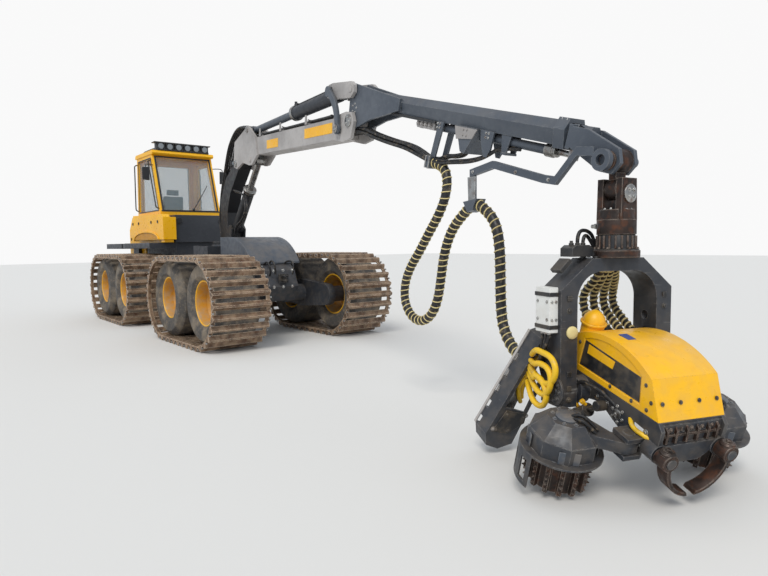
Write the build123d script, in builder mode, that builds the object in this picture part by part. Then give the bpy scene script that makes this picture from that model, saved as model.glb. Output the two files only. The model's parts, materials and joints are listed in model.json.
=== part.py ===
from build123d import *
from math import atan2, cos, degrees, hypot, pi, radians, sin, tan
import os

# Forestry harvester with eight wheels in four band tracks, a slewing crane and a harvester head.
# Millimetres. X points forward, Y to the left and Z up. Every piece is drawn about the ground
# point midway between the two bogie axles, and the last lines move the whole machine so that
# the middle of its footprint is the origin.

# Running gear
bogie_spacing = 4100
wheel_spacing = 1500
gauge = 2400
tyre_radius = 665
tyre_width = 710
rim_radius = 340
rim_width = 600
rim_wall = 14
rim_flange = 20
tyre_gap = 0.3
band_gap = 0.3
link_depth = 24
link_width = 60
shoe_depth = 66
shoe_base = 116
shoe_top = 28
shoe_length = 940
link_offset = (shoe_length - link_width) / 2
shoe_pitch = 200
hub_radius = 140
bogie_beam_width = 140
bogie_end_radius = 190
bogie_middle_radius = 250
axle_radius = 160

# Chassis
frame_half = 300
joint_x = -150
ear_radius = 160
ear_depth = 60
joint_pin_radius = 55
ear_low = 700
ear_high = 1070
frame_top = 1290
seat_gap = 0.3
pin_gap = 0.1
side_gap = 6

# Crane, in its own upright plane: distance from the slewing axis and height
mast_x = 550
slew = -8
pedestal_radius = 360
pedestal_top = 1640
ring_height = 60
mast_half = 150
boom_pin = (1000, 3090)
boom_slope = 4.2
jib_pin = (5350, 3070)
jib_slope = 16.5
lift_foot = (470, 1930)
lift_eye = (1800, 3060)
arm_pin = (5120, 3010)
link_top = (4900, 3500)
horn_pin = (5430, 3420)
jib_cylinder_eye = (1680, 3580)
tip_pin = (8960, 2160)
tip_reach = 8960

# Head
head_yaw = -13
tilt_pin = (-20, 600)
head_slope = 17.5

pieces = {}


def slab(outline, y_low, y_high, mode=Mode.ADD):
    """Plate that stands along the machine: its outline in X and Z, its thickness in Y."""
    with BuildSketch(Plane.XZ.offset(-y_high)) as profile:
        Polygon(*outline, align=None)
    extrude(to_extrude=profile.sketch, amount=y_high - y_low, dir=(0, -1, 0), mode=mode)


def across(outline, x_low, x_high, mode=Mode.ADD):
    """Plate that stands across the machine: its outline in Y and Z, its thickness in X."""
    with BuildSketch(Plane.YZ.offset(x_low)) as profile:
        Polygon(*outline, align=None)
    extrude(to_extrude=profile.sketch, amount=x_high - x_low, dir=(1, 0, 0), mode=mode)


def level(outline, z_low, z_high, mode=Mode.ADD):
    """Plate that lies flat: its outline in X and Y, its thickness in Z."""
    with BuildSketch(Plane.XY.offset(z_low)) as profile:
        Polygon(*outline, align=None)
    extrude(to_extrude=profile.sketch, amount=z_high - z_low, dir=(0, 0, 1), mode=mode)


def block(x_low, x_high, y_low, y_high, z_low, z_high, mode=Mode.ADD):
    """Upright box between two corners."""
    middle = ((x_low + x_high) / 2, (y_low + y_high) / 2, (z_low + z_high) / 2)
    with Locations(middle):
        Box(x_high - x_low, y_high - y_low, z_high - z_low, mode=mode)


def bar_y(x, z, radius, y_low, y_high, mode=Mode.ADD):
    """Round bar across the machine."""
    with BuildSketch(Plane.XZ.offset(-y_high)) as profile:
        with Locations((x, z)):
            Circle(radius)
    extrude(to_extrude=profile.sketch, amount=y_high - y_low, dir=(0, -1, 0), mode=mode)


def bar_z(x, y, radius, z_low, z_high, mode=Mode.ADD):
    """Upright round bar."""
    with BuildSketch(Plane.XY.offset(z_low)) as profile:
        with Locations((x, y)):
            Circle(radius)
    extrude(to_extrude=profile.sketch, amount=z_high - z_low, dir=(0, 0, 1), mode=mode)


def bar_x(y, z, radius, x_low, x_high, mode=Mode.ADD):
    """Round bar along the machine."""
    with BuildSketch(Plane.YZ.offset(x_low)) as profile:
        with Locations((y, z)):
            Circle(radius)
    extrude(to_extrude=profile.sketch, amount=x_high - x_low, dir=(1, 0, 0), mode=mode)


def keep(builder, name, place=None):
    """Label a finished piece and move it from its own frame to its place on the machine."""
    part = builder.part
    if place is not None:
        part = part.moved(place)
    part.label = name
    pieces[name] = part


def pitched(pin, slope):
    """Frame that starts at a pin of the crane's plane and slopes down by the given degrees."""
    return Location((pin[0], 0, pin[1]), (0, slope, 0))


def in_frame(point, pin, slope):
    """A point of the crane's plane, seen from a frame made by pitched."""
    along, up = point[0] - pin[0], point[1] - pin[1]
    turn = radians(slope)
    return (along * cos(turn) - up * sin(turn), along * sin(turn) + up * cos(turn))


def out_of_frame(point, pin, slope):
    """A point of a frame made by pitched, seen from the crane's plane."""
    turn = radians(slope)
    along = pin[0] + point[0] * cos(turn) + point[1] * sin(turn)
    return (along, pin[1] - point[0] * sin(turn) + point[1] * cos(turn))


crane_place = Location((mast_x, 0, 0), (0, 0, slew))
boom_place = crane_place * pitched(boom_pin, boom_slope)
jib_place = crane_place * pitched(jib_pin, jib_slope)
head_place = crane_place * Location((tip_reach, 0, 0), (0, 0, head_yaw))
tilt_place = head_place * pitched(tilt_pin, head_slope)

# Running gear: each corner has two wheels in one band
wheel_height = tyre_radius + band_gap + shoe_depth
track_side = gauge / 2
shoe_foot = tyre_radius + band_gap
shoe_tip = shoe_foot + shoe_depth
half_spacing = wheel_spacing / 2

with BuildPart() as tyre:
    with BuildSketch(Plane.XY):
        with BuildLine():
            half = tyre_width / 2
            Polyline(
                (rim_radius + tyre_gap, -rim_width / 2 + rim_flange + 7),
                (rim_radius + 80, -half),
                (tyre_radius - 90, -half),
                (tyre_radius, -half + 90),
                (tyre_radius, half - 90),
                (tyre_radius - 90, half),
                (rim_radius + 80, half),
                (rim_radius + tyre_gap, rim_width / 2 - rim_flange - 7),
                close=True,
            )
        make_face()
    revolve(axis=Axis.Y)

# Outer side of the rim at +Y: a deep dish round the hub
dish = 50
hub_cap_radius = 95
with BuildPart() as rim:
    with BuildSketch(Plane.XY):
        with BuildLine():
            Polyline(
                (0, dish),
                (0, dish + 70),
                (hub_cap_radius, dish + 70),
                (hub_cap_radius + 25, dish + 18),
                (rim_radius - rim_wall - 50, dish + 18),
                (rim_radius - rim_wall, dish + 70),
                (rim_radius - rim_wall, rim_width / 2 - 30),
                (rim_radius + 6, rim_width / 2),
                (rim_radius + rim_flange, rim_width / 2),
                (rim_radius, rim_width / 2 - rim_flange - 4),
                (rim_radius, -rim_width / 2 + rim_flange + 4),
                (rim_radius + rim_flange, -rim_width / 2),
                (rim_radius + 6, -rim_width / 2),
                (rim_radius - rim_wall, -rim_width / 2 + 30),
                (rim_radius - rim_wall, dish),
                close=True,
            )
        make_face()
    revolve(axis=Axis.Y)

# Shoes are bars with sloping flanks. The links run straight from shoe to shoe at the bars'
# ends, outside the tyre's shoulders, with their outer face level with the shoes' feet.
shoe_outline = [
    (-shoe_base / 2, shoe_foot),
    (-shoe_top / 2, shoe_tip),
    (shoe_top / 2, shoe_tip),
    (shoe_base / 2, shoe_foot),
]
arc_count = 2 * round(pi * shoe_tip / shoe_pitch / 2)
straight_count = round(wheel_spacing / shoe_pitch)
shoe_step = 180 / arc_count


def band_loop(height):
    """Corners of the loop midway between shoes; its flats are that far from the wheels' middles."""
    corner = height / cos(radians(shoe_step / 2))
    loop = []
    for side in (1, -1):
        for number in range(arc_count):
            turn = radians((number + 0.5) * shoe_step)
            loop.append((side * (half_spacing + corner * sin(turn)), side * corner * cos(turn)))
    return loop


with BuildPart() as band:
    with BuildSketch(Plane.XZ.offset(-shoe_length / 2)):
        for side in (1, -1):
            for number in range(arc_count + 1):
                angle = -side * number * shoe_step
                with Locations(Location((side * half_spacing, 0), angle)):
                    Polygon(*shoe_outline, align=None)
            for number in range(1, straight_count):
                shift = -half_spacing + number * wheel_spacing / straight_count
                with Locations(Location((shift, 0), 0 if side > 0 else 180)):
                    Polygon(*shoe_outline, align=None)
    extrude(amount=shoe_length)
    for middle in (-link_offset, link_offset):
        with BuildSketch(Plane.XZ.offset(-middle - link_width / 2)):
            Polygon(*band_loop(shoe_foot), align=None)
            Polygon(*band_loop(shoe_foot - link_depth), align=None, mode=Mode.SUBTRACT)
        extrude(amount=link_width)

for end, bogie_x in (("front", bogie_spacing / 2), ("rear", -bogie_spacing / 2)):
    wheel_places = [
        (bogie_x + step, side * track_side, wheel_height)
        for step in (-half_spacing, half_spacing)
        for side in (-1, 1)
    ]
    with BuildPart() as tyres:
        with Locations(*wheel_places):
            add(tyre.part)
    keep(tyres, end + "_tyres")

    with BuildPart() as rims:
        with Locations(*[Location(spot, (0, 0, 0 if spot[1] > 0 else 180)) for spot in wheel_places]):
            add(rim.part)
    keep(rims, end + "_rims")

    with BuildPart() as tracks:
        with Locations((bogie_x, -track_side, wheel_height), (bogie_x, track_side, wheel_height)):
            add(band.part)
    keep(tracks, end + "_tracks")

    beam_outer = track_side - tyre_width / 2 - 15
    beam_inner = beam_outer - bogie_beam_width
    with BuildPart() as axle:
        for side in (-1, 1):
            low, high = sorted((side * beam_inner, side * beam_outer))
            slab(
                [
                    (bogie_x - half_spacing, wheel_height + bogie_end_radius),
                    (bogie_x, wheel_height + bogie_middle_radius),
                    (bogie_x + half_spacing, wheel_height + bogie_end_radius),
                    (bogie_x + half_spacing, wheel_height - bogie_end_radius),
                    (bogie_x, wheel_height - bogie_middle_radius),
                    (bogie_x - half_spacing, wheel_height - bogie_end_radius),
                ],
                low,
                high,
            )
            for step in (-half_spacing, half_spacing):
                bar_y(bogie_x + step, wheel_height, bogie_end_radius, low, high)
                hub_low, hub_high = sorted((side * beam_outer, side * (track_side + dish)))
                bar_y(bogie_x + step, wheel_height, hub_radius, hub_low, hub_high)
            tube_low, tube_high = sorted((side * frame_half, side * beam_inner))
            bar_y(bogie_x, wheel_height, axle_radius, tube_low, tube_high)
    keep(axle, end + "_bogie_axle")

# Front frame, root of the machine
nose_front = 2600
with BuildPart() as front_frame:
    slab(
        [
            (100, ear_low - 20),
            (100, ear_high + ear_depth + 10),
            (300, frame_top),
            (2330, frame_top),
            (2480, 1180),
            (nose_front, 900),
            (2450, 640),
            (1500, 560),
            (600, 600),
        ],
        -frame_half,
        frame_half,
    )
    for low in (ear_low, ear_high):
        block(joint_x, 120, -ear_radius, ear_radius, low, low + ear_depth)
        bar_z(joint_x, 0, ear_radius, low, low + ear_depth)
    bar_z(joint_x, 0, joint_pin_radius, ear_low - 30, ear_high + ear_depth + 30)
keep(front_frame, "front_frame")

# Round pedestal with valve and tank boxes on both sides
valve_half = 560
with BuildPart() as crane_base:
    bar_z(mast_x, 0, pedestal_radius + 60, frame_top, frame_top + 50)
    bar_z(mast_x, 0, pedestal_radius, frame_top, pedestal_top)
    block(mast_x - 500, mast_x - 200, -valve_half, -200, frame_top, pedestal_top - 20)
    block(mast_x - 100, mast_x + 330, -valve_half - 60, -280, frame_top + 90, pedestal_top - 30)
    block(mast_x - 300, mast_x + 300, 200, valve_half, frame_top, pedestal_top - 50)
keep(crane_base, "crane_base")

hood_half = 480
hood_back = 1150
hood_top = 1770
hood_bend = 950
hood_crown = 1550
hood_sweep = 58
with BuildPart() as nose_hood:
    with BuildSketch(Plane.XZ.offset(-hood_half)):
        with BuildLine():
            bend = CenterArc((hood_crown, hood_top - hood_bend), hood_bend, 90, -hood_sweep)
            Polyline(
                (hood_crown, hood_top),
                (hood_back, hood_top),
                (hood_back, frame_top + seat_gap),
                ((bend @ 1).X, frame_top + seat_gap),
                bend @ 1,
            )
        make_face()
    extrude(amount=2 * hood_half)
keep(nose_hood, "nose_hood")

# Rear frame, turned by the articulation joint
rear_end = -4300
deck_height = 1700
hood_front = -3000
hood_rear = -4240
engine_hood_half = 520
engine_hood_top = 2330
sheet = 25
bay_floor = frame_top + 40
# The engine stays inside the arc that the hood's front wall sweeps as it lifts
engine_rear = -4100
engine_front = -3265
engine_half = 340
engine_top = 2060
tow_reach = 70
tow_half = 70
tow_low = 930
tow_plate = 45
tow_bore = 21
hinge_side = 300
hinge_pin_radius = 10
knuckle_radius = 26
hood_hinge = (hood_rear - knuckle_radius, bay_floor + 22)
with BuildPart() as rear_frame:
    slab(
        [
            (-420, ear_low - 20),
            (-420, ear_high + ear_depth + 10),
            (-900, frame_top),
            (rear_end, frame_top),
            (rear_end, 900),
            (-4100, 700),
            (-3300, 600),
            (-1500, 560),
        ],
        -frame_half,
        frame_half,
    )
    block(-440, joint_x, -ear_radius + 30, ear_radius - 30, ear_low + ear_depth + 2, ear_high - 2)
    bar_z(joint_x, 0, ear_radius - 10, ear_low + ear_depth + seat_gap, ear_high - seat_gap)
    bar_z(joint_x, 0, joint_pin_radius + pin_gap, ear_low, ear_high + ear_depth, Mode.SUBTRACT)
    block(-2900, -1000, -520, 520, frame_top, deck_height)
    block(hood_rear, -2900, -engine_hood_half, engine_hood_half, frame_top, bay_floor)
    for side in (-1, 1):
        low, high = sorted((side * (hinge_side - 20), side * (hinge_side + 20)))
        block(hood_hinge[0] - 20, hood_rear, low, high, frame_top - 60, hood_hinge[1])
        bar_y(*hood_hinge, hinge_pin_radius + 12, low, high)
        bar_y(*hood_hinge, hinge_pin_radius, side * hinge_side - 60, side * hinge_side + 60)
    # Tow eye with an upright bore
    block(rear_end - tow_reach, rear_end, -tow_half, tow_half, tow_low, tow_low + tow_plate)
    bar_z(rear_end - tow_reach, 0, tow_half, tow_low, tow_low + tow_plate)
    bar_z(rear_end - tow_reach, 0, tow_bore, tow_low, tow_low + tow_plate, Mode.SUBTRACT)
keep(rear_frame, "rear_frame")

deck_top = deck_height - 10
deck_low = deck_height - 120
deck_side = 1080
prop_low = 1180
with BuildPart() as deck_boxes:
    block(rear_end + 50, -2980, -deck_side, -560, deck_low - 10, deck_top)
    block(-3700, -3300, -600, -frame_half, prop_low, prop_low + 100)
    block(-3700, -3300, -600, -530, prop_low + 100, deck_low - 10)
    block(-2880, -1000, -deck_side, -520, deck_low, deck_top)
    block(-2880, -1000, 520, deck_side, deck_low, deck_top)
    block(-2300, -1700, deck_side - 80, deck_side + 170, deck_low - 40, deck_low + 1)
keep(deck_boxes, "deck_boxes")

# Engine hood behind the cab
with BuildPart() as engine_hood:
    slab(
        [
            (hood_front, bay_floor + seat_gap),
            (hood_front, engine_hood_top),
            (hood_rear + 250, engine_hood_top),
            (hood_rear, engine_hood_top - 300),
            (hood_rear, bay_floor + seat_gap),
        ],
        -engine_hood_half,
        engine_hood_half,
    )
    slab(
        [
            (hood_front - sheet, frame_top),
            (hood_front - sheet, engine_hood_top - sheet),
            (hood_rear + 250 + sheet / 2, engine_hood_top - sheet),
            (hood_rear + sheet, engine_hood_top - 300 - sheet / 2),
            (hood_rear + sheet, frame_top),
        ],
        -engine_hood_half + sheet,
        engine_hood_half - sheet,
        Mode.SUBTRACT,
    )
    for height in range(5):
        block(
            hood_rear + 300,
            hood_front - 300,
            -engine_hood_half - 5,
            engine_hood_half + 5,
            1750 + height * 90,
            1790 + height * 90,
            Mode.SUBTRACT,
        )
    for side in (-1, 1):
        for low in (-60, 21):
            start = side * hinge_side + low
            bar_y(*hood_hinge, knuckle_radius, start, start + 39)
            bar_y(*hood_hinge, hinge_pin_radius + pin_gap, start, start + 39, Mode.SUBTRACT)
keep(engine_hood, "engine_hood")

with BuildPart() as engine_block:
    block(engine_rear, engine_front, -engine_half, engine_half, bay_floor, engine_top)
keep(engine_block, "engine_block")

# Cab
cab_front = -1420
cab_rear = -2950
cab_half = 680
cab_floor = deck_height
sill = 2370
cab_top = 3640
screen_top_x = -1850
cab_wall = 60
door_pin_radius = 8
door_knuckle = 14
door_hinge = (cab_rear + 334, cab_half + door_knuckle + 2)
door_hinge_heights = (cab_floor + 250, cab_floor + 1500)
with BuildPart() as cab_shell:
    outline = [
        (cab_front, cab_floor),
        (cab_front, sill),
        (screen_top_x, cab_top),
        (cab_rear + 60, cab_top),
        (cab_rear, sill),
        (cab_rear, cab_floor),
    ]
    slab(outline, -cab_half, cab_half)
    inner = [
        (cab_front - cab_wall, cab_floor + cab_wall),
        (cab_front - cab_wall, sill + 8),
        (screen_top_x - cab_wall, cab_top + 10),
        (cab_rear + 60 + cab_wall, cab_top + 10),
        (cab_rear + cab_wall, sill),
        (cab_rear + cab_wall, cab_floor + cab_wall),
    ]
    slab(inner, -cab_half + cab_wall, cab_half - cab_wall, Mode.SUBTRACT)
    # Right side window
    side_window = [
        (cab_front - 110, sill + 40),
        (screen_top_x - 90, cab_top - 90),
        (cab_rear + 170, cab_top - 90),
        (cab_rear + 120, sill + 40),
    ]
    slab(side_window, -cab_half - 10, -cab_half + cab_wall + 10, Mode.SUBTRACT)
    # Doorway on the left
    doorway = [
        (cab_front - 110, cab_floor + 70),
        (cab_front - 110, sill + 30),
        (screen_top_x - 90, cab_top - 90),
        (cab_rear + 330, cab_top - 90),
        (cab_rear + 330, cab_floor + 70),
    ]
    slab(doorway, cab_half - cab_wall - 10, cab_half + 10, Mode.SUBTRACT)
    # Windscreen and rear window, cut along the machine
    across(
        [(-600, sill + 40), (600, sill + 40), (600, cab_top - 60), (-600, cab_top - 60)],
        screen_top_x - 200,
        cab_front + 10,
        Mode.SUBTRACT,
    )
    across(
        [(-540, sill + 60), (540, sill + 60), (540, cab_top - 120), (-540, cab_top - 120)],
        cab_rear - 10,
        cab_rear + 200,
        Mode.SUBTRACT,
    )
    for height in door_hinge_heights:
        block(door_hinge[0] - 45, door_hinge[0], cab_half, door_hinge[1], height - 20, height)
        bar_z(*door_hinge, door_knuckle, height - 20, height)
        bar_z(*door_hinge, door_pin_radius, height - 20, height + 75)
keep(cab_shell, "cab_shell")

roof_depth = 90
with BuildPart() as cab_roof:
    slab(
        [
            (screen_top_x + 110, cab_top + 30),
            (screen_top_x + 80, cab_top + roof_depth),
            (cab_rear + 40, cab_top + roof_depth),
            (cab_rear - 10, cab_top + 20),
            (cab_rear - 10, cab_top),
            (screen_top_x + 60, cab_top),
        ],
        -cab_half - 20,
        cab_half + 20,
    )
keep(cab_roof, "cab_roof")

glass = 8
with BuildPart() as cab_glass:
    slab(
        [
            (cab_front - 44, sill + 40),
            (cab_front - 44 - glass, sill + 40),
            (screen_top_x - 20 - glass, cab_top - 60),
            (screen_top_x - 20, cab_top - 60),
        ],
        -600,
        600,
    )
    slab(
        side_window,
        -cab_half + 20,
        -cab_half + 20 + glass,
    )
    slab(
        [
            (cab_rear + 34, sill + 60),
            (cab_rear + 34 + glass, sill + 60),
            (cab_rear + 80 + glass, cab_top - 120),
            (cab_rear + 80, cab_top - 120),
        ],
        -540,
        540,
    )
keep(cab_glass, "cab_glass")

door_gap = 8
door_thick = 45
door_window = [
    (cab_front - 190, cab_floor + 500),
    (cab_front - 190, sill + 30),
    (screen_top_x - 150, cab_top - 170),
    (cab_rear + 410, cab_top - 170),
    (cab_rear + 410, cab_floor + 500),
]
with BuildPart() as cab_door:
    low, high = cab_half - door_thick, cab_half
    slab(
        [
            (cab_front - 110 - door_gap, cab_floor + 70 + door_gap),
            (cab_front - 110 - door_gap, sill + 30),
            (screen_top_x - 90 - door_gap, cab_top - 90 - door_gap),
            (cab_rear + 330 + door_gap, cab_top - 90 - door_gap),
            (cab_rear + 330 + door_gap, cab_floor + 70 + door_gap),
        ],
        low,
        high,
    )
    slab(door_window, low - 1, high + 1, Mode.SUBTRACT)
    for height in door_hinge_heights:
        bar_z(*door_hinge, door_knuckle, height + seat_gap, height + 60)
        flap_low, flap_high = door_hinge[0], door_hinge[0] + 60
        block(flap_low, flap_high, cab_half, door_hinge[1], height + seat_gap, height + 60)
        bar_z(*door_hinge, door_pin_radius + pin_gap, height, height + 61, Mode.SUBTRACT)
keep(cab_door, "cab_door")

with BuildPart() as door_glass:
    slab(door_window, cab_half - 24, cab_half - 24 + glass)
keep(door_glass, "door_glass")

seat_low = cab_floor + 380
seat_top = seat_low + 120
seat_back_top = seat_top + 750
armrest_low = seat_top + 50
armrest_high = armrest_low + 60
armrest_bar = seat_low + 20
with BuildPart() as cab_seat:
    bar_z(-2250, 0, 130, cab_floor + cab_wall, seat_low)
    block(-2500, -1980, -260, 260, seat_low, seat_top)
    slab(
        [(-2500, seat_top), (-2390, seat_top), (-2500, seat_back_top), (-2600, seat_back_top)],
        -240,
        240,
    )
    block(-2400, -2250, -420, 420, armrest_bar, armrest_bar + 30)
    for side in (-1, 1):
        block(-2400, -1950, *sorted((side * 300, side * 420)), armrest_low, armrest_high)
        block(-2400, -2300, *sorted((side * 320, side * 400)), armrest_bar + 30, armrest_low)
keep(cab_seat, "cab_seat")

console_half = 555
console_top = 2280
with BuildPart() as front_console:
    block(cab_front, -920, -console_half, console_half + 5, deck_height, console_top)
keep(front_console, "front_console")

side_low = deck_height + 60
side_high = side_low + 470
side_front = -860
side_rear = -2960
side_outer = 830
with BuildPart() as side_box:
    slab(
        [
            (side_front, side_low),
            (side_front, side_high),
            (side_front - 70, side_high + 60),
            (side_rear + 110, side_high + 100),
            (side_rear, side_high + 20),
            (side_rear, side_low + 200),
            (side_rear + 160, side_low),
        ],
        -side_outer,
        -cab_half - seat_gap,
    )
    block(
        cab_front + seat_gap,
        side_front,
        -cab_half - seat_gap,
        -console_half - seat_gap,
        side_low,
        side_high,
    )
    block(-1100, -900, -800, -600, deck_height, side_low + 1)
keep(side_box, "side_box")

lamp_count = 6
lamp_pitch = 200
lamp_half = 85
lamp_low = cab_top + roof_depth + 40
lamp_high = lamp_low + 130
beacon_radius = 55
with BuildPart() as light_bar:
    block(-1960, -1780, -600, 600, lamp_low - 40, lamp_low)
    for number in range(lamp_count):
        y = (number - (lamp_count - 1) / 2) * lamp_pitch
        block(-1930, -1790, y - lamp_half, y + lamp_half, lamp_low, lamp_high)
    block(-1960, -1760, -640, 640, lamp_high, lamp_high + 20)
    bar_z(-2200, -300, beacon_radius, lamp_low - 40, lamp_high + 10)
keep(light_bar, "light_bar")

# Slewing mast, in the crane's frame
ring_low = pedestal_top + seat_gap
ring_high = pedestal_top + ring_height
mast_plate_half = 115
boom_pin_radius = 55
mast_head_radius = 100
foot_cheek = 35
foot_pin_radius = 40
lift_barrel_radius = 95
cheek_inner = lift_barrel_radius + 10
with BuildPart() as mast:
    bar_z(0, 0, pedestal_radius - 20, ring_low, ring_high)
    slab(
        [
            (-260, ring_high),
            (-200, 2500),
            (200, 2900),
            (boom_pin[0] - 160, boom_pin[1] + 60),
            (boom_pin[0], boom_pin[1] + mast_head_radius),
            (boom_pin[0] + mast_head_radius, boom_pin[1]),
            (boom_pin[0], boom_pin[1] - mast_head_radius),
            (450, 2600),
            (230, 2250),
            (240, ring_high),
        ],
        -mast_plate_half,
        mast_plate_half,
    )
    root_outer = mast_plate_half + side_gap + 40
    bar_y(boom_pin[0], boom_pin[1], boom_pin_radius, -root_outer - 15, root_outer + 15)
    for side in (-1, 1):
        low, high = sorted((side * cheek_inner, side * (cheek_inner + foot_cheek)))
        slab(
            [
                (200, ring_high),
                (200, 1960),
                (lift_foot[0] - 20, lift_foot[1] + 80),
                (lift_foot[0] + 80, lift_foot[1]),
                (lift_foot[0] + 40, ring_high + 60),
                (330, ring_high),
            ],
            low,
            high,
        )
    foot_half = cheek_inner + foot_cheek
    bar_y(lift_foot[0], lift_foot[1], foot_pin_radius, -foot_half, foot_half)
    # Double work lamp at the mast's left shoulder
    for height in (2990, 3120):
        block(330, 400, -60, 60, height, height + 110)
    block(300, 330, -50, 50, 2900, 3230)
keep(mast, "mast", crane_place)

# Lift cylinder, from the mast's foot to the boom's underside
lift_length = hypot(lift_eye[0] - lift_foot[0], lift_eye[1] - lift_foot[1])
lift_slope = -degrees(atan2(lift_eye[1] - lift_foot[1], lift_eye[0] - lift_foot[0]))
lift_place = crane_place * pitched(lift_foot, lift_slope)
lift_rod_radius = 55
lift_barrel_length = 1060
lift_bore_start = 160
lift_rod_start = 360
foot_eye_half = 90
rod_eye_half = 65
rod_eye_radius = 85
with BuildPart() as lift_barrel:
    bar_y(0, 0, 80, -foot_eye_half, foot_eye_half)
    bar_x(0, 0, lift_barrel_radius, 60, lift_barrel_length)
    bar_x(0, 0, lift_rod_radius + pin_gap, lift_bore_start, lift_barrel_length + 1, Mode.SUBTRACT)
    bar_y(0, 0, foot_pin_radius + pin_gap, -foot_eye_half - 9, foot_eye_half + 9, Mode.SUBTRACT)
keep(lift_barrel, "lift_barrel", lift_place)

with BuildPart() as lift_rod:
    bar_x(0, 0, lift_rod_radius, lift_rod_start, lift_length)
    bar_y(lift_length, 0, rod_eye_radius, -rod_eye_half, rod_eye_half)
    bar_y(lift_length, 0, 45, -rod_eye_half - 1, rod_eye_half + 1, Mode.SUBTRACT)
keep(lift_rod, "lift_rod", lift_place)


# Main boom, in a frame that starts at its foot pin
def on_boom(point):
    return in_frame(point, boom_pin, boom_slope)


beam_low = 97
beam_high = 381
beam_half = 140
root_inner = mast_plate_half + side_gap
eye_stub = 50
fork_inner = 120
fork_outer = 160
arm_inner = 175
arm_outer = 215
jib_pin_radius = 50
link_pin_radius = 35
jib_on_boom = on_boom(jib_pin)
arm_on_boom = on_boom(arm_pin)
eye_on_boom = on_boom(lift_eye)
cylinder_on_boom = on_boom(jib_cylinder_eye)
with BuildPart() as main_boom:
    slab(
        [(1000, beam_low), (1000, beam_high), (4080, 371), (4080, 110)],
        -beam_half,
        beam_half,
    )
    for side in (-1, 1):
        low, high = sorted((side * root_inner, side * root_outer))
        slab(
            [
                (-100, -60),
                (-110, 100),
                (-60, 380),
                (cylinder_on_boom[0] - 110, cylinder_on_boom[1] + 20),
                (cylinder_on_boom[0] - 40, cylinder_on_boom[1] + 70),
                (cylinder_on_boom[0] + 40, cylinder_on_boom[1] + 60),
                (1050, beam_high + 5),
                (1150, beam_low - 5),
                (eye_on_boom[0] + 90, eye_on_boom[1] - 80),
                (eye_on_boom[0] - 60, eye_on_boom[1] - 90),
                (400, 0),
                (60, -100),
            ],
            low,
            high,
        )
        bar_y(0, 0, boom_pin_radius + pin_gap, low - 1, high + 1, Mode.SUBTRACT)
        # Short pins that the two cylinders' rod eyes sit between
        low, high = sorted((side * (root_inner - eye_stub), side * (root_outer + 12)))
        bar_y(eye_on_boom[0], eye_on_boom[1], 45, low, high)
        bar_y(cylinder_on_boom[0], cylinder_on_boom[1], link_pin_radius, low, high)
        # Fork that holds the jib
        low, high = sorted((side * fork_inner, side * fork_outer))
        slab(
            [
                (3950, 380),
                (4150, 400),
                (jib_on_boom[0] - 60, jib_on_boom[1] + 110),
                (jib_on_boom[0] + 80, jib_on_boom[1] + 90),
                (jib_on_boom[0] + 130, jib_on_boom[1] - 20),
                (jib_on_boom[0] + 60, 90),
                (4200, 60),
                (3950, 105),
            ],
            low,
            high,
        )
    bar_y(jib_on_boom[0], jib_on_boom[1], jib_pin_radius, -fork_outer - 12, fork_outer + 12)
    bar_y(arm_on_boom[0], arm_on_boom[1], link_pin_radius, -arm_outer - 12, arm_outer + 12)
keep(main_boom, "main_boom", boom_place)

# Fold linkage: a pair of curved arms on the boom's fork and a box link to the jib's horn
arm_length = hypot(link_top[0] - arm_pin[0], link_top[1] - arm_pin[1])
arm_slope = -degrees(atan2(link_top[1] - arm_pin[1], link_top[0] - arm_pin[0]))
arm_place = crane_place * pitched(arm_pin, arm_slope)
arm_half_height = 45
arm_bow = 80
arm_eye_radius = 65
with BuildPart() as fold_arms:
    for side in (-1, 1):
        low, high = sorted((side * arm_inner, side * arm_outer))
        with BuildSketch(Plane.XZ.offset(-high)) as arm_side:
            with BuildLine():
                ThreePointArc(
                    (0, -arm_half_height),
                    (arm_length / 2, -arm_half_height - arm_bow),
                    (arm_length, -arm_half_height),
                )
                Line((arm_length, -arm_half_height), (arm_length, arm_half_height))
                ThreePointArc(
                    (arm_length, arm_half_height),
                    (arm_length / 2, arm_half_height - arm_bow),
                    (0, arm_half_height),
                )
                Line((0, arm_half_height), (0, -arm_half_height))
            make_face()
            with Locations((0, 0), (arm_length, 0)):
                Circle(arm_eye_radius)
        extrude(to_extrude=arm_side.sketch, amount=high - low, dir=(0, -1, 0))
        bar_y(0, 0, link_pin_radius + pin_gap, low - 1, high + 1, Mode.SUBTRACT)
    bar_y(arm_length, 0, link_pin_radius, -arm_outer, arm_outer)
keep(fold_arms, "fold_arms", arm_place)

link_length = hypot(horn_pin[0] - link_top[0], horn_pin[1] - link_top[1])
link_slope = -degrees(atan2(horn_pin[1] - link_top[1], horn_pin[0] - link_top[0]))
link_place = crane_place * pitched(link_top, link_slope)
link_inner = 122
link_outer = 165
open_eye_gap = 25
horn_pin_radius = 40
with BuildPart() as fold_link:
    for side in (-1, 1):
        low, high = sorted((side * link_inner, side * link_outer))
        slab(
            [
                (-85, -70),
                (-95, 40),
                (-60, 85),
                (60, 100),
                (link_length, 85),
                (link_length + 75, 40),
                (link_length + 80, -40),
                (link_length, -100),
                (120, -95),
            ],
            low,
            high,
        )
        bar_y(0, 0, link_pin_radius + open_eye_gap, low - 1, high + 1, Mode.SUBTRACT)
    bar_y(link_length, 0, horn_pin_radius, -link_outer - 8, link_outer + 8)
keep(fold_link, "fold_link", link_place)

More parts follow.
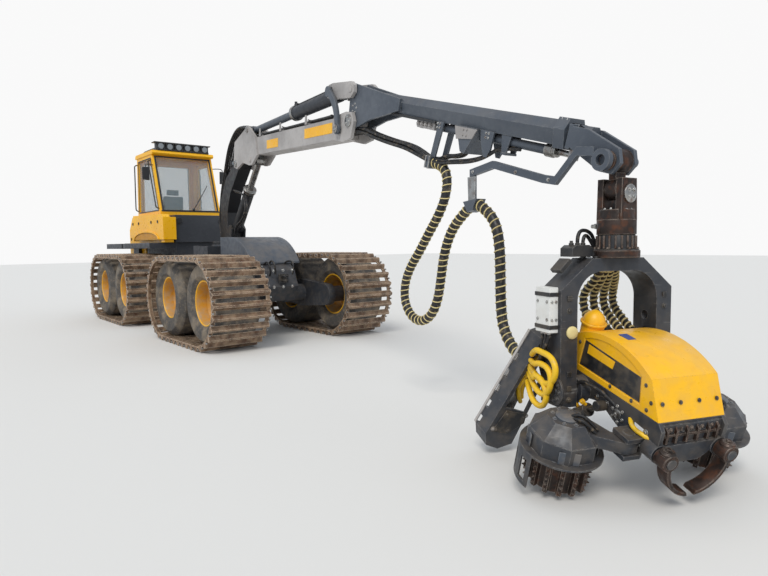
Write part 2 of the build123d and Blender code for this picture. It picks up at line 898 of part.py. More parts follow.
# Jib cylinder: barrel at the linkage, long rod to the boom's root
cylinder_length = hypot(link_top[0] - jib_cylinder_eye[0], link_top[1] - jib_cylinder_eye[1])
cylinder_slope = -degrees(
    atan2(jib_cylinder_eye[1] - link_top[1], jib_cylinder_eye[0] - link_top[0])
)
cylinder_place = crane_place * pitched(link_top, cylinder_slope)
jib_barrel_radius = 92
jib_rod_radius = 58
jib_barrel_length = 1480
with BuildPart() as jib_barrel:
    bar_y(0, 0, 75, -60, 60)
    bar_x(0, 0, jib_barrel_radius, 60, jib_barrel_length)
    bar_x(0, 0, jib_barrel_radius + 12, jib_barrel_length - 60, jib_barrel_length)
    bar_x(0, 0, jib_rod_radius + pin_gap, 120, jib_barrel_length + 1, Mode.SUBTRACT)
    bar_y(0, 0, link_pin_radius + pin_gap, -61, 61, Mode.SUBTRACT)
keep(jib_barrel, "jib_barrel", cylinder_place)

with BuildPart() as jib_rod:
    bar_x(0, 0, jib_rod_radius, 230, cylinder_length - 40)
    bar_y(cylinder_length, 0, 70, -60, 60)
    bar_y(cylinder_length, 0, link_pin_radius + 10, -61, 61, Mode.SUBTRACT)
keep(jib_rod, "jib_rod", cylinder_place)


# Jib, in a frame that starts at its pin on the boom
def on_jib(point):
    return in_frame(point, jib_pin, jib_slope)


jib_axis = 275
jib_height = 186
jib_width = 190
jib_start = 640
jib_end = 3290
jib_wall = 12
slide_gap = 5
tele_reach = 1750
jib_bottom = jib_axis - jib_height / 2
horn_inner = 85
horn_outer = 115
tele_cylinder_z = 132
tele_barrel_radius = 38
tele_rod_radius = 24
tele_barrel_start = 1290
tele_barrel_end = 3170
clamp_start = 1610
clamp_end = 1690
clamp_y = -60
clamp_v = -205
clamp_half = 52
horn_on_jib = on_jib(horn_pin)


def hexagon(height, width):
    """Beam section with a crease on each side, as points across the beam and up it."""
    crease = width / 2
    shoulder = width / 2 - 42
    return [
        (-shoulder, height / 2),
        (shoulder, height / 2),
        (crease, height * 0.12),
        (shoulder + 10, -height / 2),
        (-shoulder - 10, -height / 2),
        (-crease, height * 0.12),
    ]


def lifted(outline, height):
    return [(across_point, up + height) for across_point, up in outline]


bore_height = jib_height - 2 * jib_wall
bore_width = jib_width - 2 * jib_wall
with BuildPart() as jib:
    across(lifted(hexagon(jib_height, jib_width), jib_axis), 400, jib_end)
    for side in (-1, 1):
        low, high = sorted((side * horn_inner, side * horn_outer))
        slab(
            [
                (horn_on_jib[0] - 90, horn_on_jib[1] - 20),
                (horn_on_jib[0] - 60, horn_on_jib[1] + 70),
                (380, jib_axis + 110),
                (1000, jib_axis + 60),
                (1000, jib_axis - 60),
                (420, 60),
                (100, -70),
                (0, -95),
                (-90, -40),
                (-95, 60),
            ],
            low,
            high,
        )
        bar_y(0, 0, jib_pin_radius + pin_gap, low - 1, high + 1, Mode.SUBTRACT)
        bar_y(*horn_on_jib, horn_pin_radius + pin_gap, low - 1, high + 1, Mode.SUBTRACT)
        # Bracket plates under the beam, the first of them with the hose clamp
        low, high = sorted((side * 62, side * 80))
        slab([(1690, jib_bottom + 6), (1775, jib_bottom + 6), (1715, -150), (1640, -150)], low, high)
        slab(
            [
                (2320, jib_bottom + 6),
                (2500, jib_bottom + 6),
                (2490, 40),
                (2455, -30),
                (2415, -30),
                (2350, 90),
            ],
            low,
            high,
        )
    block(180, 400, -horn_inner - 1, horn_inner + 1, jib_axis - 40, jib_axis + 60)
    clamp_low = clamp_v - clamp_half
    block(clamp_start, clamp_end, clamp_y - clamp_half, clamp_y + clamp_half, clamp_low, -150)
    block(clamp_start, clamp_end, -80, 80, -170, -150)
    # Guard box between the brackets
    guard = [(2010, jib_bottom + 6), (2310, jib_bottom + 6), (2180, -43), (2120, -30)]
    slab(guard, -110, 110)
    bar_x(0, tele_cylinder_z, tele_barrel_radius + 4, 2000, 2320, Mode.SUBTRACT)
    # Sleeve collar at the beam's end
    across(lifted(hexagon(jib_height + 40, jib_width + 40), jib_axis), jib_end - 110, jib_end)
    across(
        lifted(hexagon(bore_height, bore_width), jib_axis),
        jib_start,
        jib_end + 1,
        Mode.SUBTRACT,
    )
keep(jib, "jib", jib_place)

tip_on_jib = on_jib(tip_pin)
tele_height = bore_height - 2 * slide_gap
tele_width = bore_width - 2 * slide_gap
tip_inner = 62
tip_outer = 95
tip_pin_radius = 38
with BuildPart() as telescope:
    across(
        lifted(hexagon(tele_height, tele_width), jib_axis),
        jib_end - tele_reach - 300,
        jib_end + 190,
    )
    for side in (-1, 1):
        low, high = sorted((side * tip_inner, side * tip_outer))
        slab(
            [
                (jib_end + 40, jib_axis + 60),
                (jib_end + 190, jib_axis + 60),
                (tip_on_jib[0] + 60, tip_on_jib[1] + 90),
                (tip_on_jib[0] + 100, tip_on_jib[1]),
                (tip_on_jib[0] + 50, tip_on_jib[1] - 85),
                (tip_on_jib[0] - 60, tip_on_jib[1] - 85),
                (jib_end + 60, jib_axis - 90),
            ],
            low,
            high,
        )
    bar_y(*tip_on_jib, tip_pin_radius, -140, 180)
    block(jib_end + 20, jib_end + 60, -tip_outer, tip_outer, tele_cylinder_z + 40, jib_axis + 75)
keep(telescope, "telescope", jib_place)

# Telescope cylinder under the beam
with BuildPart() as tele_barrel:
    bar_x(0, tele_cylinder_z, tele_barrel_radius, tele_barrel_start, tele_barrel_end)
    bar_x(
        0,
        tele_cylinder_z,
        tele_rod_radius + pin_gap,
        tele_barrel_start + 80,
        tele_barrel_end + 1,
        Mode.SUBTRACT,
    )
    block(
        tele_barrel_start - 40,
        tele_barrel_start + 60,
        -30,
        30,
        tele_cylinder_z - 30,
        jib_bottom,
    )
keep(tele_barrel, "tele_barrel", jib_place)

with BuildPart() as tele_rod:
    bar_x(0, tele_cylinder_z, tele_rod_radius, tele_barrel_start + 90, jib_end + 60)
    block(jib_end + 20, jib_end + 60, -40, 40, tele_cylinder_z - 40, tele_cylinder_z + 40)
keep(tele_rod, "tele_rod", jib_place)

# Routes of the two free hoses, as points along the crane, across it and up. The first leaves
# the jib's clamp in line with the jib, and the second ends at the saw box's rear face.
hose_diameter = 85
hose_y = -160
clamp_exit = out_of_frame((clamp_end, clamp_v), jib_pin, jib_slope)
clamp_lead = out_of_frame((clamp_end + 150, clamp_v), jib_pin, jib_slope)
gland_u = -560
gland_y = -370
gland_v = -70


def tilt_to_crane(along, side, up):
    """A point of the head's tilted frame, seen from the crane's frame."""
    ahead, height = out_of_frame((along, up), tilt_pin, head_slope)
    turn = radians(head_yaw)
    s = tip_reach + ahead * cos(turn) - side * sin(turn)
    return (s, ahead * sin(turn) + side * cos(turn), height)


hose_routes = {
    "hose_to_hanger": [
        (clamp_exit[0], clamp_y, clamp_exit[1]),
        (clamp_lead[0], clamp_y, clamp_lead[1]),
        (7150, -75, 2245),
        (7160, -95, 2075),
        (7075, -115, 1895),
        (6910, -120, 1720),
        (6740, -120, 1530),
        (6570, -120, 1370),
        (6465, -120, 1190),
        (6465, -120, 1000),
        (6590, -120, 860),
        (6770, -120, 825),
        (6940, -120, 905),
        (7050, -120, 1070),
        (7100, -120, 1280),
        (7165, -135, 1500),
        (7280, -150, 1700),
        (7430, hose_y, 1835),
        (7580, hose_y, 1925),
    ],
    "hose_to_head": [
        (7700, hose_y, 1940),
        (7830, hose_y, 1870),
        (7930, hose_y, 1740),
        (7965, hose_y, 1540),
        (7970, hose_y, 1310),
        (7975, hose_y, 1090),
        (8010, -165, 910),
        tilt_to_crane(gland_u - 170, gland_y, gland_v),
        tilt_to_crane(gland_u, gland_y, gland_v),
    ],
}


def end_face(route, back, half):
    """Two points of a face square to a hose's end: the hose leaves it at route[0]."""
    start, after = route[0], route[1]
    along, up = after[0] - start[0], after[2] - start[2]
    length = hypot(along, up)
    across_x, across_z = -up / length * half, along / length * half
    middle = (start[0] - along / length * back, start[2] - up / length * back)
    return [
        (middle[0] + across_x, middle[1] + across_z),
        (middle[0] - across_x, middle[1] - across_z),
    ]


# Hose arm that reaches back under the jib from the telescope's tip, on its right side
arm_side_low = hose_y - 20
arm_side_high = hose_y + 20
hanger_s = 7640
hanger_half = 55
arm_route = [(8905, 2225), (8760, 2245), (8560, 2060), (8440, 2085), (7890, 2255), (7600, 2215)]
arm_depth = 62
with BuildPart() as hose_arm:
    upper = [(s, z + arm_depth / 2) for s, z in arm_route]
    lower = [(s, z - arm_depth / 2) for s, z in reversed(arm_route)]
    slab(upper + lower, arm_side_low, arm_side_high)
    bar_y(tip_pin[0], tip_pin[1], 75, arm_side_low, arm_side_high)
    bar_y(tip_pin[0], tip_pin[1], tip_pin_radius + pin_gap, -181, -139, Mode.SUBTRACT)
    bar_z(hanger_s, hose_y, 20, 1950, 2200)
    saddle = end_face(hose_routes["hose_to_hanger"][::-1], 0, hanger_half)
    saddle += end_face(hose_routes["hose_to_head"], 0, hanger_half)
    slab(saddle, hose_y - hanger_half, hose_y + hanger_half)
keep(hose_arm, "hose_arm", crane_place)

# Tip link, rotator link and rotator
rotator_s = tip_reach
link_drop = 190
cross_pin_z = tip_pin[1] - link_drop
cross_pin_radius = 32
with BuildPart() as tip_link:
    bar_y(tip_pin[0], tip_pin[1], 85, -tip_inner + 4, tip_inner - 4)
    bar_y(tip_pin[0], tip_pin[1], tip_pin_radius + pin_gap, -tip_inner, tip_inner, Mode.SUBTRACT)
    block(tip_pin[0] - 30, tip_pin[0] + 30, -50, 50, tip_pin[1] - 130, tip_pin[1] - 78)
    bar_x(0, cross_pin_z, 75, tip_pin[0] - 45, tip_pin[0] + 45)
    bar_x(0, cross_pin_z, cross_pin_radius, tip_pin[0] - 110, tip_pin[0] + 110)
keep(tip_link, "tip_link", crane_place)

rotator_top = 1830
rotator_split = 1660
with BuildPart() as rotator_link:
    for side in (-1, 1):
        low, high = sorted((rotator_s + side * 52, rotator_s + side * 100))
        across([(-85, 1760), (-75, 2040), (75, 2040), (85, 1760)], low, high)
        bar_x(0, cross_pin_z, cross_pin_radius + pin_gap, low - 1, high + 1, Mode.SUBTRACT)
    bar_z(rotator_s, 0, 115, 1760, rotator_top)
    bar_z(rotator_s, 0, 130, rotator_split, 1760)
keep(rotator_link, "rotator_link", crane_place)

arch_top = 1500
with BuildPart() as rotator:
    bar_z(rotator_s, 0, 125, arch_top + 60, rotator_split - seat_gap)
    bar_z(rotator_s, 0, 150, arch_top, arch_top + 60)
keep(rotator, "rotator", crane_place)

# Arch yoke over the head
yoke_half = 460
yoke_wall = 130
arch_back = -200
arch_front = 30
arch_crown = 1410
arch_round = 200
arch_shoulder = 1290
arch_flat = 210
leg_foot = tilt_pin[1] - 110
leg_inner = yoke_half - yoke_wall
leg_holes = (960, 1080)
leg_hole_radius = 32
tilt_pin_radius = 50
with BuildPart() as yoke:
    across(
        [
            (-yoke_half, leg_foot),
            (-yoke_half, arch_shoulder),
            (-arch_flat, arch_top),
            (arch_flat, arch_top),
            (yoke_half, arch_shoulder),
            (yoke_half, leg_foot),
        ],
        arch_back,
        arch_front,
    )
    with BuildSketch(Plane.YZ.offset(arch_back - 1)) as opening:
        with Locations((0, (arch_crown + leg_foot) / 2)):
            Rectangle(2 * leg_inner, arch_crown - leg_foot + 2)
        fillet(opening.vertices().group_by(Axis.Y)[-1], arch_round)
    extrude(
        to_extrude=opening.sketch,
        amount=arch_front - arch_back + 2,
        dir=(1, 0, 0),
        mode=Mode.SUBTRACT,
    )
    # Holes through the left leg's side, above the pin
    for height in leg_holes:
        middle = (arch_back + arch_front) / 2
        bar_y(middle, height, leg_hole_radius, leg_inner - 1, yoke_half + 1, Mode.SUBTRACT)
    bar_y(*tilt_pin, tilt_pin_radius + pin_gap, -yoke_half - 1, yoke_half + 1, Mode.SUBTRACT)
keep(yoke, "yoke", head_place)

box_depth = 70
box_low = 1000
box_high = 1310
with BuildPart() as head_box:
    block(-170, 0, -yoke_half - box_depth, -yoke_half, box_low, box_high)
keep(head_box, "head_box", head_place)

# Head, in a frame that starts at the tilt pins and follows the stem.
# Its side plates carry the arms, knives and saw box; a top plate joins them.
head_half = 250
side_plate = 26
saw_rear = -500
saw_front = -330
cover_low = 185
cover_front = (690, 168)
cover_heel = (-110, 96)
cover_gap = 0.3
top_plate = 40
boss_radius = 95
side_hole = (369, 30)
side_oval = (560, 45, 130, 46)
knife_u = 735
knife_width = 90
knife_blade = 26
knife_ring = 232
knife_middle = -50
knife_sweep = 84
knife_bevel = 80
knife_pin = (225, -20)
knife_pin_radius = 32
knife_boss = 56
feed_pivot = (560, 315)
feed_pin_radius = 35
with BuildPart() as head_frame:
    for side in (-1, 1):
        low, high = sorted((side * (head_half - side_plate), side * head_half))
        slab(
            [
                (saw_front, 60),
                (saw_front, 170),
                (-222, 172),
                (cover_heel[0] - 6, cover_heel[1] - 6),
                (cover_heel[0], cover_heel[1] - cover_gap),
                (cover_front[0], cover_front[1] - cover_gap),
                (730, 130),
                (735, -40),
                (690, -60),
                (620, -25),
                (560, -60),
                (450, -62),
                (330, -30),
                (200, 10),
                (110, -20),
                (0, -70),
                (-120, -60),
                (-250, 40),
            ],
            low,
            high,
        )
        bar_y(side_hole[0], side_hole[1], 22, low - 1, high + 1, Mode.SUBTRACT)
        with BuildSketch(Plane.XZ.offset(-high - 1)) as oval:
            with Locations((side_oval[0], side_oval[1])):
                SlotOverall(side_oval[2], side_oval[3])
        extrude(to_extrude=oval.sketch, amount=side_plate + 2, dir=(0, -1, 0), mode=Mode.SUBTRACT)
        boss_low, boss_high = sorted((side * head_half, side * (yoke_half - yoke_wall - side_gap)))
        bar_y(0, 0, boss_radius, boss_low, boss_high)
        pin_low, pin_high = sorted((side * head_half, side * yoke_half))
        bar_y(0, 0, tilt_pin_radius, pin_low, pin_high)
        # Ears for the feed arm's pin
        ear_inner, ear_outer = sorted((side * head_half, side * (feed_pivot[1] + 60)))
        for ear_v in (-125, -5):
            block(feed_pivot[0] - 70, feed_pivot[0] + 70, ear_inner, ear_outer, ear_v, ear_v + 30)
        bar_z(feed_pivot[0], side * feed_pivot[1], feed_pin_radius, -135, 30)
        block(feed_pivot[0] - 60, feed_pivot[0] + 60, *sorted((side * 235, side * head_half)), -125, 0)
        # Boss and pin of the knife
        bar_x(side * knife_pin[0], knife_pin[1], 60, 640, knife_u)
        bar_x(side * knife_pin[0], knife_pin[1], knife_pin_radius, 640, knife_u + knife_width + 2 * side_gap)
    slab(
        [
            (cover_heel[0], cover_heel[1] - cover_gap),
            (cover_front[0], cover_front[1] - cover_gap),
            (cover_front[0], cover_front[1] - top_plate),
            (cover_heel[0], cover_heel[1] - top_plate),
        ],
        -head_half,
        head_half,
    )
    block(saw_front, saw_front + 20, -head_half, head_half, 60, 170)
    block(640, 700, -head_half, head_half, 20, 150)
    # Fixed top knife at the front end
    across(
        [(-200, 30), (200, 30), (150, -60), (90, -100), (-90, -100), (-150, -60)],
        705,
        730,
    )
    block(700, 706, -150, 150, 20, 100)
keep(head_frame, "head_frame", tilt_place)

# Its top is one long curve; an inset panel lies in each flank
cover_half = 250
inset_depth = 6
with BuildPart() as head_cover:
    with BuildSketch(Plane.XZ.offset(-cover_half)) as profile:
        with BuildLine():
            Polyline((560, 385), cover_front, cover_heel, (-202, 176), (-165, 350))
            ThreePointArc((-165, 350), (190, 462), (560, 385))
        make_face()
    extrude(to_extrude=profile.sketch, amount=2 * cover_half, dir=(0, -1, 0))
    with BuildSketch(Plane.XZ.offset(-cover_half)) as inset:
        with BuildLine():
            Polyline((480, 360), (520, 190), (-90, 140), (-80, 345))
            ThreePointArc((-80, 345), (190, 420), (480, 360))
        make_face()
    for start in (-cover_half, cover_half - inset_depth):
        cut = inset.sketch.moved(Location((0, start + inset_depth - cover_half, 0)))
        extrude(to_extrude=cut, amount=inset_depth, dir=(0, -1, 0), mode=Mode.SUBTRACT)
keep(head_cover, "head_cover", tilt_place)

# Feed arms with their motor guards, and the lugged rollers they carry
roller_u = 335
roller_side = 600
roller_radius = 200
roller_low = -425
roller_high = -200
lug_count = 14
lug_depth = 30
lug_width = 30
guard_radius = 225
guard_low = -195
guard_edge = -70
guard_taper = 42
motor_shaft_radius = 45
shield_radius = 262
shield_wall = 14
window_count = 12
window_width = 66
window_low = roller_low + 30
window_high = guard_low - 45
arm_low = -89
arm_high = -11
for name, side in (("right", -1), ("left", 1)):
    with BuildPart() as feed_arm:
        level(
            [
                (feed_pivot[0] - 75, side * (feed_pivot[1] + 66)),
                (feed_pivot[0] - 20, side * (feed_pivot[1] - 55)),
                (feed_pivot[0] + 55, side * (feed_pivot[1] - 40)),
                (feed_pivot[0] + 60, side * (feed_pivot[1] + 40)),
                (roller_u + 150, side * (roller_side - 60)),
                (roller_u - 60, side * (roller_side - 150)),
            ],
            arm_low,
            arm_high,
        )
        pin_bore = feed_pin_radius + pin_gap
        bar_z(
            feed_pivot[0],
            side * feed_pivot[1],
            pin_bore,
            arm_low - 1,
            arm_high + 1,
            Mode.SUBTRACT,
        )
        with BuildSketch(Plane.XY.offset(guard_low)) as guard_rim:
            with Locations((roller_u, side * roller_side)):
                RegularPolygon(guard_radius, 8, rotation=22.5)
        extrude(to_extrude=guard_rim.sketch, amount=guard_edge - guard_low, dir=(0, 0, 1))
        with BuildSketch(Plane.XY.offset(guard_edge)) as guard_hat:
            with Locations((roller_u, side * roller_side)):
                RegularPolygon(guard_radius - 8, 8, rotation=22.5)
        extrude(to_extrude=guard_hat.sketch, amount=95, taper=guard_taper)
        bar_z(roller_u, side * roller_side, motor_shaft_radius, guard_low - 80, guard_low)
        # Shield round the roller's outer side, with a row of tall windows
        with BuildSketch(Plane.XY.offset(roller_low)) as shield:
            with Locations((roller_u, side * roller_side)):
                Circle(shield_radius)
                Circle(shield_radius - shield_wall, mode=Mode.SUBTRACT)
            with Locations((roller_u + 210, side * (roller_side - 120))):
                Rectangle(700, 500, rotation=-side * 40, mode=Mode.SUBTRACT)
        extrude(to_extrude=shield.sketch, amount=guard_low - roller_low + 10, dir=(0, 0, 1))
        with BuildSketch(Plane.XY.offset(window_low)) as windows:
            with Locations((roller_u, side * roller_side)):
                with PolarLocations(shield_radius, window_count):
                    Rectangle(3 * shield_wall, window_width)
        extrude(
            to_extrude=windows.sketch,
            amount=window_high - window_low,
            dir=(0, 0, 1),
            mode=Mode.SUBTRACT,
        )
        with BuildSketch(Plane.XY.offset(guard_low)) as shield_top:
            with Locations((roller_u, side * roller_side)):
                Circle(shield_radius)
        extrude(to_extrude=shield_top.sketch, amount=12, dir=(0, 0, 1))
    keep(feed_arm, "feed_arm_" + name, tilt_place)

    with BuildPart() as feed_roller:
        bar_z(roller_u, side * roller_side, roller_radius - lug_depth, roller_low, roller_high)
        with BuildSketch(Plane.XY.offset(roller_low)) as lugs:
            with Locations((roller_u, side * roller_side)):
                with PolarLocations(roller_radius - lug_depth, lug_count):
                    Rectangle(2 * lug_depth, lug_width)
        extrude(to_extrude=lugs.sketch, amount=roller_high - roller_low - 15, dir=(0, 0, 1))
        shaft_bore = motor_shaft_radius + pin_gap
        bore_low = guard_low - 80 - side_gap
        bar_z(roller_u, side * roller_side, shaft_bore, bore_low, roller_high + 1, Mode.SUBTRACT)
    keep(feed_roller, "feed_roller_" + name, tilt_place)

# Front delimbing knives: curved blades that hang from their bosses round the stem
def on_ring(side, radius, angle):
    """Point of the blade's circle, that many degrees down from its upper end."""
    turn = radians(angle)
    return (side * radius * cos(turn), knife_middle - radius * sin(turn))


for name, side in (("right", -1), ("left", 1)):
    with BuildPart() as knife:
        knife_low = knife_u + side_gap
        knife_inner = knife_ring - knife_blade
        outer_arc = [on_ring(side, knife_ring, knife_sweep * part) for part in (0, 0.5, 1)]
        inner_arc = [on_ring(side, knife_inner, knife_bevel * part) for part in (1, 0.5, 0)]
        with BuildSketch(Plane.YZ.offset(knife_low)) as blade:
            with BuildLine():
                ThreePointArc(*outer_arc)
                Line(outer_arc[-1], inner_arc[0])
                ThreePointArc(*inner_arc)
                Line(inner_arc[-1], outer_arc[0])
            make_face()
        extrude(to_extrude=blade.sketch, amount=knife_width, dir=(1, 0, 0))
        knife_high = knife_low + knife_width
        bar_x(side * knife_pin[0], knife_pin[1], knife_boss, knife_low, knife_high)
        bore = knife_pin_radius + pin_gap
        bar_x(side * knife_pin[0], knife_pin[1], bore, knife_low - 1, knife_high + 1, Mode.SUBTRACT)
    keep(knife, "front_knife_" + name, tilt_place)

# Saw box across the head's rear end and down its right side, with the bar stored in it
saw_wall = 14
saw_pivot = (-300, 110)
saw_shaft_radius = 22
saw_tip = (-600, -560)
bar_half = 36
bar_low_u = -430
bar_depth = 9
box_shoulder = (-410, 225)
box_elbow = (-745, -540)
box_window = [(-360, 130), (-440, 90), (-612, -320), (-440, -385), (-345, -60)]
notch_count = 5
notch_pitch = 140
notch_start = 230
notch_length = 62
notch_depth = 34
notch_width = 46
gland_half = 60
with BuildPart() as saw_box:
    across(
        [
            (head_half, 60),
            (head_half, 175),
            (-150, 175),
            (-300, 260),
            box_shoulder,
            box_elbow,
            (-725, -640),
            (-620, -690),
            (-500, -660),
            (-270, 40),
            (-250, 60),
        ],
        saw_rear,
        saw_front,
    )
    across(
        [
            (-330, 200),
            (-395, 170),
            (-720, -560),
            (-640, -700),
            (-480, -700),
            (-250, 40),
            (-100, 50),
            (-100, 130),
            (-251, 190),
        ],
        saw_rear + saw_wall,
        saw_front - saw_wall,
        Mode.SUBTRACT,
    )
    # Window in the front wall, and notches along the rear edge of the long outer face
    across(box_window, saw_front - saw_wall - 1, saw_front + 1, Mode.SUBTRACT)
    face_turn = degrees(atan2(box_elbow[1] - box_shoulder[1], box_elbow[0] - box_shoulder[0]))
    with BuildSketch(Plane.YZ.offset(saw_rear - 1)) as notches:
        with Locations(Location((*box_shoulder, 0), (0, 0, face_turn))):
            with Locations(*[(notch_start + n * notch_pitch, 0) for n in range(notch_count)]):
                Rectangle(notch_length, 2 * notch_depth)
    extrude(to_extrude=notches.sketch, amount=notch_width + 1, dir=(1, 0, 0), mode=Mode.SUBTRACT)
    bar_x(*saw_pivot, saw_shaft_radius, saw_rear + saw_wall, saw_front - saw_wall)
    block(
        gland_u,
        saw_rear,
        gland_y - gland_half,
        gland_y + gland_half,
        gland_v - gland_half,
        gland_v + gland_half,
    )
keep(saw_box, "saw_box", tilt_place)

saw_length = hypot(saw_tip[0] - saw_pivot[0], saw_tip[1] - saw_pivot[1])
saw_turn = degrees(atan2(saw_tip[1] - saw_pivot[1], saw_tip[0] - saw_pivot[0]))
with BuildPart() as saw_bar:
    with BuildSketch(Plane.YZ.offset(bar_low_u)) as bar_side:
        with Locations(Location((*saw_pivot, 0), (0, 0, saw_turn))):
            with Locations((saw_length / 2, 0)):
                SlotCenterToCenter(saw_length, 2 * bar_half)
        with Locations(saw_pivot):
            Circle(saw_shaft_radius + pin_gap, mode=Mode.SUBTRACT)
    extrude(to_extrude=bar_side.sketch, amount=bar_depth, dir=(1, 0, 0))
keep(saw_bar, "saw_bar", tilt_place)

# Free hoses: straight runs joined by arcs as large as the runs allow
for name, route in hose_routes.items():
    points = [Vector(*spot) for spot in route]
    runs = [after - before for before, after in zip(points, points[1:])]
    radii = []
    for before, after in zip(runs, runs[1:]):
        half_turn = radians(before.get_angle(after)) / 2
        radii.append(0.45 * min(before.length, after.length) / tan(half_turn))
    print(name, "radii", [round(radius) for radius in radii])
    with BuildPart() as hose:
        with BuildLine() as path:
            FilletPolyline(*points, radius=radii)
        with BuildSketch(Plane(origin=path.line @ 0, z_dir=path.line % 0)) as ring:
            Circle(hose_diameter / 2)
        sweep(sections=ring.sketch, path=path.line)
    section = pi * hose_diameter**2 / 4
    length = sum(edge.length for edge in path.line.edges())
    print(name, "volume", round(hose.part.volume), "from length", round(section * length))
    keep(hose, name, crane_place)

# Middle of the footprint becomes the origin
free_hoses = tuple(hose_routes)
boxes = [part.bounding_box() for name, part in pieces.items() if name not in free_hoses]
middle_x = (min(box.min.X for box in boxes) + max(box.max.X for box in boxes)) / 2
middle_y = (min(box.min.Y for box in boxes) + max(box.max.Y for box in boxes)) / 2
lowest = min(box.min.Z for box in boxes)
shift = Location((-middle_x, -middle_y, -lowest))
os.makedirs("parts", exist_ok=True)
for name, part in pieces.items():
    part = part.moved(shift)
    part.label = name
    export_step(part, "parts/" + name + ".step")
print("footprint middle", shift.position.X, shift.position.Y, shift.position.Z)
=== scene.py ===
import bmesh
import bpy
import json
from math import cos, pi, radians, sin
from mathutils import Matrix, Vector


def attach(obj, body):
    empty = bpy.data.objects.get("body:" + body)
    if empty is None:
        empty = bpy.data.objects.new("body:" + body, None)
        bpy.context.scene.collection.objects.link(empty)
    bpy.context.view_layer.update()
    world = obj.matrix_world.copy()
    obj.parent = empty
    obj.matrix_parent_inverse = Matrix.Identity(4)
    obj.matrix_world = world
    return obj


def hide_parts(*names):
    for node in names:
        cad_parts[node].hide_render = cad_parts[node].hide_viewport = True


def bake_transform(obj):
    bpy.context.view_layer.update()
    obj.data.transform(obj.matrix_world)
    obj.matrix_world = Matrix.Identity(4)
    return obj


# Forestry harvester: finishes, hoses, fittings and small parts over the machine's solids.
# Frames, free hoses and the camera are in metres; the forms of the pieces are in millimetres.
# Local frames follow the machine: its chassis, the crane's plane, boom, jib, yoke and head.

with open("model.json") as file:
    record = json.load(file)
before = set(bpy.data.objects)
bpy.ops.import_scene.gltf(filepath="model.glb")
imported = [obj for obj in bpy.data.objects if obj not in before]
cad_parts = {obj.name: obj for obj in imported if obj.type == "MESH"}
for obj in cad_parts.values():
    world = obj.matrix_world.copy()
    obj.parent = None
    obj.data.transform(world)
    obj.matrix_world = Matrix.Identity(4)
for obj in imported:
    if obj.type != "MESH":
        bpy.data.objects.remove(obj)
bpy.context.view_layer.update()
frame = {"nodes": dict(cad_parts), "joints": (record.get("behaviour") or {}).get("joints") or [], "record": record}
nodes = frame["nodes"]
joints = {joint["name"]: joint for joint in frame["joints"]}

# Local frames
joint_behind_middle = 0.150
pivot = joints["articulation"]["pos_m"]
chassis = Matrix.Translation((pivot[0] + joint_behind_middle, pivot[1], 0))
mast_x = 0.550
slew = -8
crane = chassis @ Matrix.Translation((mast_x, 0, 0)) @ Matrix.Rotation(radians(slew), 4, "Z")


def pitched(s, z, slope):
    """Frame at a point of the crane's plane, its first axis sloping down by the given degrees."""
    return Matrix.Translation((s, 0, z)) @ Matrix.Rotation(radians(slope), 4, "Y")


boom_pin, boom_slope = (1.000, 3.090), 4.2
jib_pin, jib_slope = (5.350, 3.070), 16.5
tilt_pin, head_slope = (-0.020, 0.600), 17.5
tip_reach = 8.960
head_turn = -13
boom = crane @ pitched(*boom_pin, boom_slope)
jib = crane @ pitched(*jib_pin, jib_slope)
yoke = crane @ Matrix.Translation((tip_reach, 0, 0)) @ Matrix.Rotation(radians(head_turn), 4, "Z")
head = yoke @ pitched(*tilt_pin, head_slope)
sides = ((-1, "right"), (1, "left"))


def linked(name, data):
    """New object in the scene."""
    piece = bpy.data.objects.new(name, data)
    bpy.context.scene.collection.objects.link(piece)
    return piece


def beside(side, near, far):
    """Low and high bound of what lies between two distances on one side of the middle."""
    return sorted((side * near, side * far))


def corners_of(low, high):
    """Corners of a rectangle between two opposite ones."""
    return [low, (high[0], low[1]), high, (low[0], high[1])]


def round_of(count, first, second, start=0):
    """Directions that share out the circle from the first one by way of the second."""
    turns = [start + 2 * pi * index / count for index in range(count)]
    return [cos(turn) * first + sin(turn) * second for turn in turns]


def spokes(count, start=0):
    """Directions that share out a circle, all square to the third axis."""
    return round_of(count, Vector((1, 0, 0)), Vector((0, 1, 0)), start)


def mirrored(route):
    """The same route on the other side of the middle."""
    return [(x, -y, z) for x, y, z in route]


def both_sides(route):
    """A route given on the left, on the right and on the left."""
    return [mirrored(route), route]


# Camera at the photograph's place
camera_place = Vector((11.590, -5.091, 1.618))
camera_yaw, camera_pitch, camera_roll = radians(140.816), radians(-4.288), radians(-0.716)
focal_pixels = 592.2
image_width = 768
sensor = 36


def make_camera():
    ahead = Vector(
        (cos(camera_pitch) * cos(camera_yaw), cos(camera_pitch) * sin(camera_yaw), sin(camera_pitch))
    )
    level = ahead.cross(Vector((0, 0, 1))).normalized()
    above = level.cross(ahead)
    right = cos(camera_roll) * level + sin(camera_roll) * above
    up = cos(camera_roll) * above - sin(camera_roll) * level
    turn = Matrix((right, up, -ahead)).transposed().to_4x4()
    data = bpy.data.cameras.new("camera")
    data.sensor_width = sensor
    data.lens = focal_pixels * sensor / image_width
    data.clip_end = 200
    camera = linked("camera", data)
    camera.matrix_world = Matrix.Translation(chassis @ camera_place) @ turn
    bpy.context.scene.camera = camera


# Materials


def tone(colour):
    """A colour as it is seen, 0 to 255, in the shader's linear values."""
    values = []
    for value in colour:
        share = value / 255
        values.append(share / 12.92 if share <= 0.04045 else ((share + 0.055) / 1.055) ** 2.4)
    return (*values, 1)


